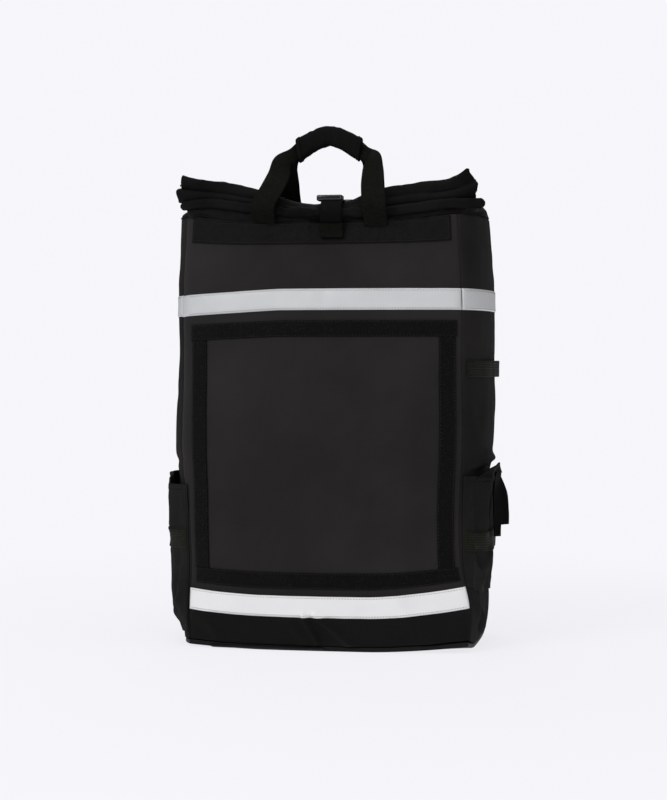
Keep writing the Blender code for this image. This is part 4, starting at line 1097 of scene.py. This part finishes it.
def makeCollar():
    # folded layers behind and under the roll, with a ridge and soft gathers
    def placeAt(u, v):
        s, t = 2 * u - 1, 2 * v - 1
        x, y = footPoint(s * 0.998, t, bag["top"])
        _, middleZ, _, halfHeight, _ = rollFrame(s * bag["halfWidth"])
        seat = bag["top"] + 0.0026 + topRise(s, bag["top"])
        underRoll = np.maximum(middleZ - halfHeight - 0.0006 - seat, 0)
        front = np.interp(t, (-1, -0.95, -0.86, -0.72, -0.58, -0.35, -0.1), (0, 0.5, 0.8, 1, 1, 0.55, 0))
        rear = curveThrough((-0.6, -0.35, -0.1, 0.1, 0.5, 1), (0, 0.45, 0.95, 1, 0.62, 0), t)
        shoulder = np.sqrt(np.maximum(1 - np.abs(s) ** 8, 0))
        free = ramp(t + 0.3, 0.25) * ramp(1 - t, 0.15) * ramp(1 - np.abs(s), 0.06)
        folds = 0.003 * softNoise(x * 0.25, y, 0.013, 51) + 0.0016 * softNoise(x, y * 0.5, 0.011, 52)
        return x, y, seat + shoulder * (underRoll * front + 0.026 * rear) + free * (folds - 0.0012)

    made = clothGrid("collarCloth", 130, 90, (0.36, 0.2), placeAt, "collarCloth", bag["wall"])
    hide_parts("top_collar")


makeCollar()
print("collar ready")


# the strap over the roll, its bar and its folded end
closure = {
    "x": roll["strapX"], "width": 0.026, "webbing": 0.0016, "gap": 0.0003, "endZ": 0.489, "rest": 0.0007,
    "rise": 0.026, "tailWidth": 0.028, "tailHeight": 0.0195, "tailMargin": 0.002,
    "bar": (0.031, 0.015, 0.0072),
}


def closureRoute():
    middleY, _, halfDepth, _, _ = rollFrame(closure["x"])
    edges = rollFrame(closure["x"] + closure["width"] * np.array([-0.5, 0.0, 0.5, 0.6]))
    lipY, lipZ = lipMiddle(closure["x"])
    out = closure["webbing"] / 2 + closure["gap"]
    top = float(np.max(edges[1] + edges[3])) + out + closure["gap"]
    lipFront = lipY - roll["lip"] - out
    stripOut = closure["rest"] + 2 * closure["gap"] + closure["webbing"] * 1.5
    endY = float(frontPoint(closure["x"] / bag["halfWidth"], closure["endZ"], stripOut)[1])
    rearY = middleY + halfDepth
    rows = (
        (rearY + 0.03, bag["top"] + closure["rise"] + 0.006), (rearY + 0.006, top + 0.004),
        (middleY + halfDepth * 0.5, top + 0.001), (middleY, top + 0.0012),
        (middleY - halfDepth * 0.6, top + 0.001), (middleY - halfDepth - 0.003, top - 0.0005),
        (lipFront + 0.002, lipZ + 0.0075), (lipFront - 0.0012, lipZ), (lipFront + 0.0015, lipZ - 0.0085),
        (endY - 0.0006, bag["top"] - 0.01), (endY, closure["endZ"]),
    )
    return [(closure["x"], y, z) for y, z in rows], top, middleY - halfDepth * 0.35


def makeClosure():
    rows, top, barY = closureRoute()
    line = lineThrough(rows, 120)
    band = strap("closureBand", ["closure_strap"], line, (1, 0, 0), closure["width"], closure["webbing"],
                 "darkWebbing", wave=0.0002, seed=1)
    run = band["length"]
    fromV = (run - closure["tailMargin"] - closure["tailHeight"]) / run
    toV = (run - closure["tailMargin"]) / run
    facing = math.copysign(1, -band["normal"][-1][1])
    tailLine = onStrap(band, 0, np.linspace(fromV, toV, 28), facing * (closure["webbing"] + 0.0001))
    # the folded end takes the paler handle webbing: a painted highlight, lighter than the strap it folds
    # from, standing in for light on its upturned face
    tail = strap("closureTail", ["closure_tail"], tailLine, (1, 0, 0), closure["tailWidth"], 0.003,
                 "handleWebbing", wave=0.0003, seed=2)
    rows = (*acrossRows(0.12, 0.88, half=0.86), *edgeRows(0.12, 0.88, 0.86), *acrossRows(0.3, half=0.86))
    stitchStrap(tail, rows, (0, -1, 0), pitch=stitch["short"])
    bm = bmesh.new()
    bmesh.ops.create_cube(bm, size=1.0)
    bmesh.ops.scale(bm, vec=closure["bar"], verts=bm.verts)
    bmesh.ops.bevel(bm, geom=bm.edges[:], offset=0.0022, segments=5, profile=0.5, affect="EDGES", material=-1)
    barZ = top + closure["webbing"] / 2 + closure["gap"] + closure["bar"][2] / 2 - 0.0006
    bmesh.ops.translate(bm, vec=(closure["x"] - 0.0035, barY - 0.01, barZ), verts=bm.verts)
    bar = finishMesh("closureBar", bm, "blackPlastic")
    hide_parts("closure_slider")


makeClosure()
print("closure ready")

# the grab handle: two webbing loops and the cloth sleeve round them
handle = {
    "webbing": 0.0024, "width": 0.0285, "folded": 0.0175, "gripY": -0.0425, "gripZ": 0.6015, "arch": 0.018,
    "gripHalf": 0.039, "gripX": -0.002, "wall": 0.0022, "frontEnd": 0.502, "rearEnd": 0.492,
}
# x, y, z, width, turn of the webbing's width in degrees
frontLoop = (
    (-0.0668, -0.1275, 0.528, 1.0, 7), (-0.0588, -0.108, 0.552, 1.0, 11),
    (-0.0566, -0.08, 0.571, 0.8, 18), (-0.056, -0.06, 0.588, 0.4, 36),
    (0.0535, -0.06, 0.59, 0.4, 146), (0.0575, -0.08, 0.574, 0.8, 166),
    (0.0615, -0.106, 0.553, 1.0, 176), (0.0662, -0.1275, 0.528, 1.0, 180),
)
rearLoop = (
    (-0.0685, 0.093, 0.519, 1.0, 0), (-0.068, 0.064, 0.534, 1.0, 0), (-0.066, 0.03, 0.549, 1.0, 2),
    (-0.061, 0.001, 0.569, 0.8, 8), (-0.0545, -0.025, 0.588, 0.4, 32),
    (0.0465, -0.025, 0.59, 0.4, 150), (0.044, 0.001, 0.571, 0.8, 172),
    (0.0405, 0.03, 0.549, 1.0, 178), (0.0395, 0.064, 0.534, 1.0, 180), (0.039, 0.093, 0.519, 1.0, 180),
)


def loopRows(route, ends, side):
    half = len(route) // 2
    arch = []
    for share in np.linspace(-1.08, 1.08, 9):
        y = handle["gripY"] + side * (handle["webbing"] / 2 + 0.0009)
        slope = -2 * handle["arch"] * share / handle["gripHalf"]
        x = handle["gripX"] + share * handle["gripHalf"]
        z = handle["gripZ"] + handle["arch"] * (1 - share * share)
        arch.append((x, y, z, 0.0, 90 - math.degrees(math.atan(slope))))
    return [ends[0], *route[:half], *arch, *route[half:], ends[1]]


def makeHandle():
    out = 0.0006 + 0.0016 + handle["webbing"] / 2
    feet = []
    for x in (frontLoop[0][0], frontLoop[-1][0]):
        end = handle["frontEnd"] + (0.0078 if x < 0 else 0.0022)
        y = float(frontPoint(x / bag["halfWidth"], end, out)[1])
        feet.append((x - 0.0024 * (x < 0), y, end, 1.0, 5 if x < 0 else 180))
    rearFeet = []
    for x in (rearLoop[0][0], rearLoop[-1][0]):
        y = float(backPoint(-x / bag["halfWidth"], handle["rearEnd"], 0.0006 + handle["webbing"] / 2)[1])
        rearFeet.append((x, y, handle["rearEnd"], 1.0, 0 if x < 0 else 180))
    for name, node, route, ends, side in (
        ("frontHandle", "handle_front_strap", frontLoop, feet, -1),
        ("rearHandle", "handle_rear_strap", rearLoop, rearFeet, 1),
    ):
        line = lineThrough(loopRows(route, ends, side), 220)
        turns = np.radians(line[:, 4])
        across = np.stack([np.cos(turns), 0 * turns, -np.sin(turns)], -1)
        flat = np.clip(line[:, 3], 0, 1)
        widths = handle["folded"] + (handle["width"] - handle["folded"]) * flat
        bow = -side * 0.003 * bell(flat - 0.55, 0.3)
        band = strap(name, [node], line[:, :3], across, widths, handle["webbing"], "handleWebbing",
                     bow, 0.0003, 5 + side)
        for word, low, top in (("Start", 0.008, 0.052), ("End", 0.948, 0.992)):
            rows = (
                *acrossRows(low, top), *edgeRows(low, top), (-0.84, low, 0.84, top), (-0.84, top, 0.84, low),
                *acrossRows((low + top) / 2),
            )
            stitchStrap(band, rows, (0, side, 0), word)


def gripPoint(share, turns, out=0.0):
    # share from -1 to 1 along the sleeve; turns round it, 0.25 on top and 0.5 behind
    x = handle["gripX"] + share * handle["gripHalf"]
    z = handle["gripZ"] + handle["arch"] * (1 - np.abs(share) ** 1.5)
    slope = -1.5 * handle["arch"] / handle["gripHalf"] * np.sign(share) * np.sqrt(np.abs(share))
    angle = 2 * math.pi * turns
    high = 0.0122 + 0.0014 * np.abs(share) + out
    deep = handle["webbing"] + 0.0027 + handle["wall"] + out
    lift = high * swollen(np.sin(angle), 0.55)
    back = deep * swollen(np.cos(angle), 0.6)
    crumple = 0.0009 * softNoise(share * 0.05, np.sin(angle) * 0.01, 0.011, 71)
    crumple = crumple + 0.0005 * softNoise(share * 0.05, np.cos(angle) * 0.008, 0.005, 72)
    return x - 0.22 * slope * lift, handle["gripY"] + back - crumple, z + lift + crumple


def makeGrip():
    def placeAt(u, v):
        return gripPoint(2 * v - 1, u)

    sleeve = clothGrid("gripSleeve", 48, 96, (0.055, 0.085), placeAt, "gripCloth", handle["wall"],
                       joined=True)
    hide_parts("handle_grip")
    for side in (-1, 1):
        def hemAt(u, v, side=side):
            share = side * (0.885 + 0.112 * v)
            return gripPoint(share, u, 0.0006 - 0.0005 * (2 * v - 1) ** 6)

        clothGrid("gripHem" + sideWords[side], 48, 10, (0.055, 0.006), hemAt, "gripCloth", 0.0006,
                  joined=True)
        for number, place in enumerate((0.905, 0.975)):
            turns = np.linspace(0, 1, 60)
            places = gripPoint(np.full_like(turns, side * place), turns, 0.0007)
            stitchRow(f"gripStitch{sideWords[side]}{number}", places, (0, -1, 0), pitch=stitch["short"])
    share = np.linspace(-0.87, 0.87, 80)
    places = gripPoint(share, np.full_like(share, 0.7), 0.0002)
    stitchRow("gripSeam", places, (0, -0.3, -1), pitch=stitch["short"])


makeHandle()
makeGrip()
print("handle ready")


# side pockets, their bands and mouth hems
pocket = {
    "edge": 0.982, "top": 0.206, "bottom": {1: 0.066, -1: 0.014}, "depth": {1: 0.0062, -1: 0.013},
    "mouth": {1: 1.7, -1: 1.0}, "leftSag": 0.0125, "bandZ": 0.1155, "bandWidth": 0.025, "wall": 0.002,
    "webbing": 0.0016,
}
# folds of the pockets, in metres from the front seam back and up: from, to, half width, height
pocketFolds = {
    1: (
        (0.044, 0.19, 0.042, 0.148, 0.011, 0.0056), (0.02, 0.196, 0.026, 0.146, 0.007, -0.0048),
        (0.07, 0.194, 0.066, 0.146, 0.008, -0.005), (0.028, 0.112, 0.074, 0.07, 0.006, -0.01),
        (0.06, 0.112, 0.05, 0.092, 0.01, 0.0052), (0.08, 0.112, 0.09, 0.074, 0.008, 0.0033),
        (0.11, 0.196, 0.112, 0.146, 0.01, 0.0036), (0.13, 0.11, 0.12, 0.072, 0.008, -0.0036),
        (0.016, 0.11, 0.014, 0.074, 0.005, 0.0024),
    ),
    -1: (
        (0.03, 0.198, 0.036, 0.146, 0.01, 0.0039), (0.014, 0.196, 0.02, 0.15, 0.005, -0.0027),
        (0.06, 0.2, 0.056, 0.146, 0.007, -0.0039), (0.1, 0.198, 0.104, 0.146, 0.012, 0.0039),
        (0.02, 0.106, 0.034, 0.062, 0.006, -0.0042), (0.05, 0.108, 0.06, 0.04, 0.011, 0.0039),
        (0.02, 0.05, 0.06, 0.024, 0.006, 0.0036), (0.03, 0.038, 0.05, 0.018, 0.0045, -0.0036),
        (0.11, 0.1, 0.1, 0.03, 0.01, -0.0033), (0.15, 0.1, 0.154, 0.04, 0.009, 0.0027),
    ),
}


def pocketPoint(side, s, z, out=0.0):
    s, z = paired(s, z)
    bottom = pocket["bottom"][side]
    rise = np.clip((z - bottom) / (pocket["top"] - bottom), 0, 1)
    swell = curveThrough((0, 0.18, 0.55, 0.8, 1), (0, 0.62, 1, 1.08, pocket["mouth"][side]), rise)
    across = np.clip(1 - np.abs(s / pocket["edge"]) ** 4, 0, 1)
    stand = 0.0003 + pocket["wall"] + pocket["depth"][side] * swell * across
    calm = ramp(1 - np.abs(s) / pocket["edge"], 0.1) * np.clip(rise / 0.1, 0, 1)
    held = np.clip(np.abs(z - pocket["bandZ"] - pocket["bandWidth"] / 2) / 0.016, 0.25, 1)
    folds = foldsAt(pocketFolds[side], (s + 1) * bag["halfDepth"], z)
    folds = folds + 0.0012 * softNoise(s * 0.09, z * 0.6, 0.02, 80 + side)
    folds = folds + 0.0006 * softNoise(s * 0.09, z, 0.009, 84 + side)
    return sidePoint(side, s, z, stand + calm * held * folds + out)


def mouthAt(side, s):
    # the left mouth sags at its front end
    sag = ramp(-0.3 - np.asarray(s, float), 0.35)
    return pocket["top"] - (0 if side > 0 else pocket["leftSag"]) * eased(sag)


def makePocket(side):
    word, bottom, edge = sideWords[side], pocket["bottom"][side], pocket["edge"]

    def faceAt(u, v):
        s = side * (2 * u - 1) * edge
        return pocketPoint(side, s, bottom + v * (mouthAt(side, s) - bottom))

    face = clothGrid("pocket" + word, 90, 110, (0.19, 0.19), faceAt, "pocketCloth", pocket["wall"])
    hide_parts("side_pocket_" + word.lower())

    def bandAt(u, v):
        s = side * (2 * u - 1) * edge
        near = np.minimum(v, 1 - v) * pocket["bandWidth"]
        z = pocket["bandZ"] + v * pocket["bandWidth"]
        return pocketPoint(side, s, z, 0.0021 - 0.0008 * bell(near, 0.0008))

    size = (0.0005, pocket["bandWidth"])
    band = clothGrid("pocketBand" + word, 90, 12, size, bandAt, "oliveWebbing", pocket["webbing"])
    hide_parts("pocket_webbing_" + word.lower())
    for number, inset in enumerate((0.0022, pocket["bandWidth"] - 0.0022)):
        s = np.linspace(-edge + 0.02, edge - 0.02, 80)
        places = pocketPoint(side, s, pocket["bandZ"] + inset, 0.0022)
        stitchRow(f"pocketBand{word}Stitch{number}", places, (side, 0, 0))

    def hemAt(u, v):
        # a folded hem over the mouth's edge: down the inside, over and down the outside
        s = side * (2 * v - 1) * (edge - 0.01)
        turned = 2 * math.pi * u
        drop = 0.0075 * (0.5 - 0.5 * np.cos(turned))
        out = 0.0014 * np.sin(turned) - 0.001
        return pocketPoint(side, s, mouthAt(side, s) + 0.0006 - drop, out)

    clothGrid("pocketHem" + word, 20, 96, (0.02, 0.19), hemAt, "pocketCloth", joined=True, capped=True)
    s = np.linspace(-edge + 0.03, edge - 0.03, 80)
    stitchRow(f"pocketHem{word}Stitch", pocketPoint(side, s, mouthAt(side, s) - 0.0062, 0.0006), (side, 0, 0))
    for end, endWord in ((-1, "Front"), (1, "Back")):
        z = np.linspace(bottom + 0.006, float(mouthAt(side, end)) - 0.008, 90)
        places = pocketPoint(side, end * (edge - 0.012), z, 0.0003)
        stitchRow(f"pocketEdge{word}{endWord}", places, (side, 0, 0))


makePocket(1)
makePocket(-1)
print("pockets ready")

# the webbing loop and the loose tail of the right side
sideLoop = {"z": 0.325, "width": 0.02, "slack": 0.0036, "ends": (-0.95, 0.9), "webbing": 0.0016}


def makeSideLoop():
    s = np.linspace(*sideLoop["ends"], 120)
    stops = (sideLoop["ends"][0], -0.5, 0, 0.6, sideLoop["ends"][1])
    slack = sideLoop["slack"] * curveThrough(stops, (0, 0.4, 0.6, 1, 0), s)
    middle = np.stack(sidePoint(1, s, sideLoop["z"] + sideLoop["width"] / 2, 0.0011), -1)
    middle[:, 0] += slack
    band = strap("sideLoop", ["side_loop_right"], middle, (0, 0, 1), sideLoop["width"], sideLoop["webbing"],
                 "oliveWebbing", wave=0.0003, seed=7, turned=True)
    rows = (*acrossRows(0.01, 0.06), *edgeRows(0.01, 0.06), *acrossRows(0.99, 0.94))
    stitchStrap(band, rows, (1, 0, 0))


# out, y, z, turn: how far the tail's width has turned from +Y towards +X
tailStations = np.array((
    (0.0018, -0.006, 0.207, 0.05), (0.0025, -0.008, 0.197, 0.2), (0.0045, -0.01, 0.181, 0.38),
    (0.0055, -0.012, 0.163, 0.45), (0.006, -0.012, 0.145, 0.47),
))


def makeTail():
    stations = np.arange(len(tailStations))
    mouth = float(pocketPoint(1, 0.0, pocket["top"])[0])
    for name, node, width, shiftX, shiftY, share in (
        ("sideTail", "side_tail_right", 0.0265, -0.001, -0.001, (0.0, 4.0)),
        ("sideTailInner", "side_tail_inner_right", 0.012, -0.0062, 0.0005, (1.8, 5.2)),
    ):
        along = np.linspace(*share, 60)
        inside = np.clip(along, 0, 4)
        out, y, z, turn = (curveThrough(stations, tailStations[:, k], inside) for k in range(4))
        z = z - (along - inside) * 0.012
        angle = turn * math.pi / 2
        middle = np.stack([mouth + out + shiftX, y + shiftY, z], -1)
        across = np.stack([np.sin(angle), np.cos(angle), 0 * angle], -1)
        widths = width * (1 - 0.1 * np.linspace(0, 1, 60) ** 6)
        band = strap(name, [node], middle, across, widths, sideLoop["webbing"], "darkWebbing",
                     0.0012, 0.0005, 8)
        if name == "sideTail":
            stitchStrap(band, acrossRows(0.93, 0.97), (-1, 0, 0))


# where the tail's start runs over the right pocket's mouth: share back along it, out, above the mouth
tailFoldRoute = (
    (-0.78, -0.004, -0.01), (-0.66, 0.0006, 0.0), (-0.5, 0.0018, 0.006), (-0.34, 0.0016, 0.009),
    (-0.2, 0.0012, 0.006), (-0.11, 0.0014, -0.003),
)


def makeTailFold():
    # the tail's start: out of the pocket, over its mouth and round to the hanging end
    rows = []
    for s, out, rise in tailFoldRoute:
        x, y, z = (float(value) for value in pocketPoint(1, s, pocket["top"]))
        rows.append((x + out, y, z + rise))
    line = lineThrough(rows, 70)
    share = np.linspace(0, 1, 70)[:, None]
    across = (1 - share) * np.array((0.1, -0.3, 0.95)) + share * np.array((0.4, 0.85, 0.3))
    widths = 0.013 + 0.005 * share[:, 0]
    band = strap("sideTailFold", [], line, across, widths, sideLoop["webbing"], "darkWebbing",
                 0.001, 0.0003, 9)
    stitchStrap(band, edgeRows(0.06, 0.5, 0.8), (-1, 0, 0), material="dimThread", radius=0.00026)


makeSideLoop()
makeTail()
makeTailFold()
print("side straps ready")


# shoulder straps on the back: padded, bound at the edge, with webbing sewn down the middle
shoulder = {
    "width": 0.065, "pad": 0.01, "standoff": 0.045, "x": 0.062, "splay": 0.02, "endStand": 0.8,
    "top": 0.48, "end": 0.2, "webbing": 0.0016, "lowWidth": 0.025, "lowEnd": 0.045, "lowX": 0.12,
    "overlap": 0.02,
}


def shoulderPoint(side, across, share, out):
    # across from -1 to 1, share from the top down; out from the pad's middle
    z = shoulder["top"] + share * (shoulder["end"] - shoulder["top"])
    standoff = curveThrough((0, 0.15, 0.5, 0.8, 1), (0, 0.45, 1, 0.95, shoulder["endStand"]), share)
    stand = 0.0003 + shoulder["standoff"] * standoff + shoulder["pad"] / 2 + out
    narrow = 1 - 0.16 * ramp(share - 0.72, 0.28) ** 2
    centre = -side * (shoulder["x"] + shoulder["splay"] * share ** 2)
    s = (centre + shoulder["width"] / 2 * across * narrow) / bag["halfWidth"]
    x, y, _ = backPoint(s, z, 0.0)
    return x, y + stand, z + topRise(s, z)


def makeShoulder(side):
    word = sideWords[side]

    def padAt(u, v):
        # round the pad's section: over the back, round the edge and along the front
        angle = 2 * math.pi * u
        across = swollen(np.cos(angle), 0.45)
        edge = 1 - 0.45 * np.abs(across) ** 8
        thick = shoulder["pad"] / 2 * swollen(np.sin(angle), 0.7) * edge
        dimple = 0.0004 * softNoise(across * 0.03, v * 0.28, 0.012, 91)
        return shoulderPoint(side, across, v, thick + dimple * np.sign(thick))

    pad = clothGrid("shoulderPad" + word, 56, 110, (0.15, 0.28), padAt, "padCloth", joined=True, capped=True)
    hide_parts("shoulder_strap_" + word.lower())
    for edge, edgeWord in ((-1, "Inner"), (1, "Outer")):
        share = np.linspace(0.004, 0.996, 90)
        points = np.stack(shoulderPoint(side, edge * 0.985, share, 0.0), -1)
        strap(f"shoulderBinding{word}{edgeWord}", [], points, (0, 1, 0), 0.0075, shoulder["webbing"],
              "stripWebbing", wave=0.0002, seed=12)
    share = np.linspace(0.02, 0.985, 90)
    middle = np.stack(shoulderPoint(side, 0.0, share, shoulder["pad"] / 2 + 0.0009), -1)
    band = strap("shoulderWebbing" + word, [], middle, (1, 0, 0), shoulder["lowWidth"], shoulder["webbing"],
                 "handleWebbing", wave=0.0002, seed=13)
    stitchStrap(band, (*edgeRows(0.02, 0.98), *acrossRows(0.3, 0.33, 0.62, 0.65)), (0, 1, 0))
    share = np.linspace(0, 1, 90)
    startOut = 0.0003 + shoulder["standoff"] * shoulder["endStand"] + shoulder["pad"] + 0.0006
    startZ = shoulder["end"] + shoulder["overlap"]
    z = startZ + share * (shoulder["lowEnd"] - startZ)
    reach = startOut + 0.002
    fall = (reach - 0.0003) * curveThrough((0, 0.15, 1), (0, 0.02, 1), share)
    stand = reach - fall + shoulder["webbing"] / 2
    startX = shoulder["x"] + shoulder["splay"]
    centre = -side * (startX + (shoulder["lowX"] - startX) * share)
    middle = np.stack(backPoint(centre / bag["halfWidth"], z, stand), -1)
    low = strap("lowWebbing" + word, ["strap_webbing_" + word.lower()], middle, (1, 0, 0),
                shoulder["lowWidth"], shoulder["webbing"], "handleWebbing", wave=0.0003, seed=14)
    rows = (
        *acrossRows(0.93, 0.985), (-0.84, 0.93, 0.84, 0.985), (-0.84, 0.985, 0.84, 0.93),
        *acrossRows(0.02, 0.09),
    )
    stitchStrap(low, rows, (0, 1, 0))


makeShoulder(1)
makeShoulder(-1)
print("shoulder straps ready")
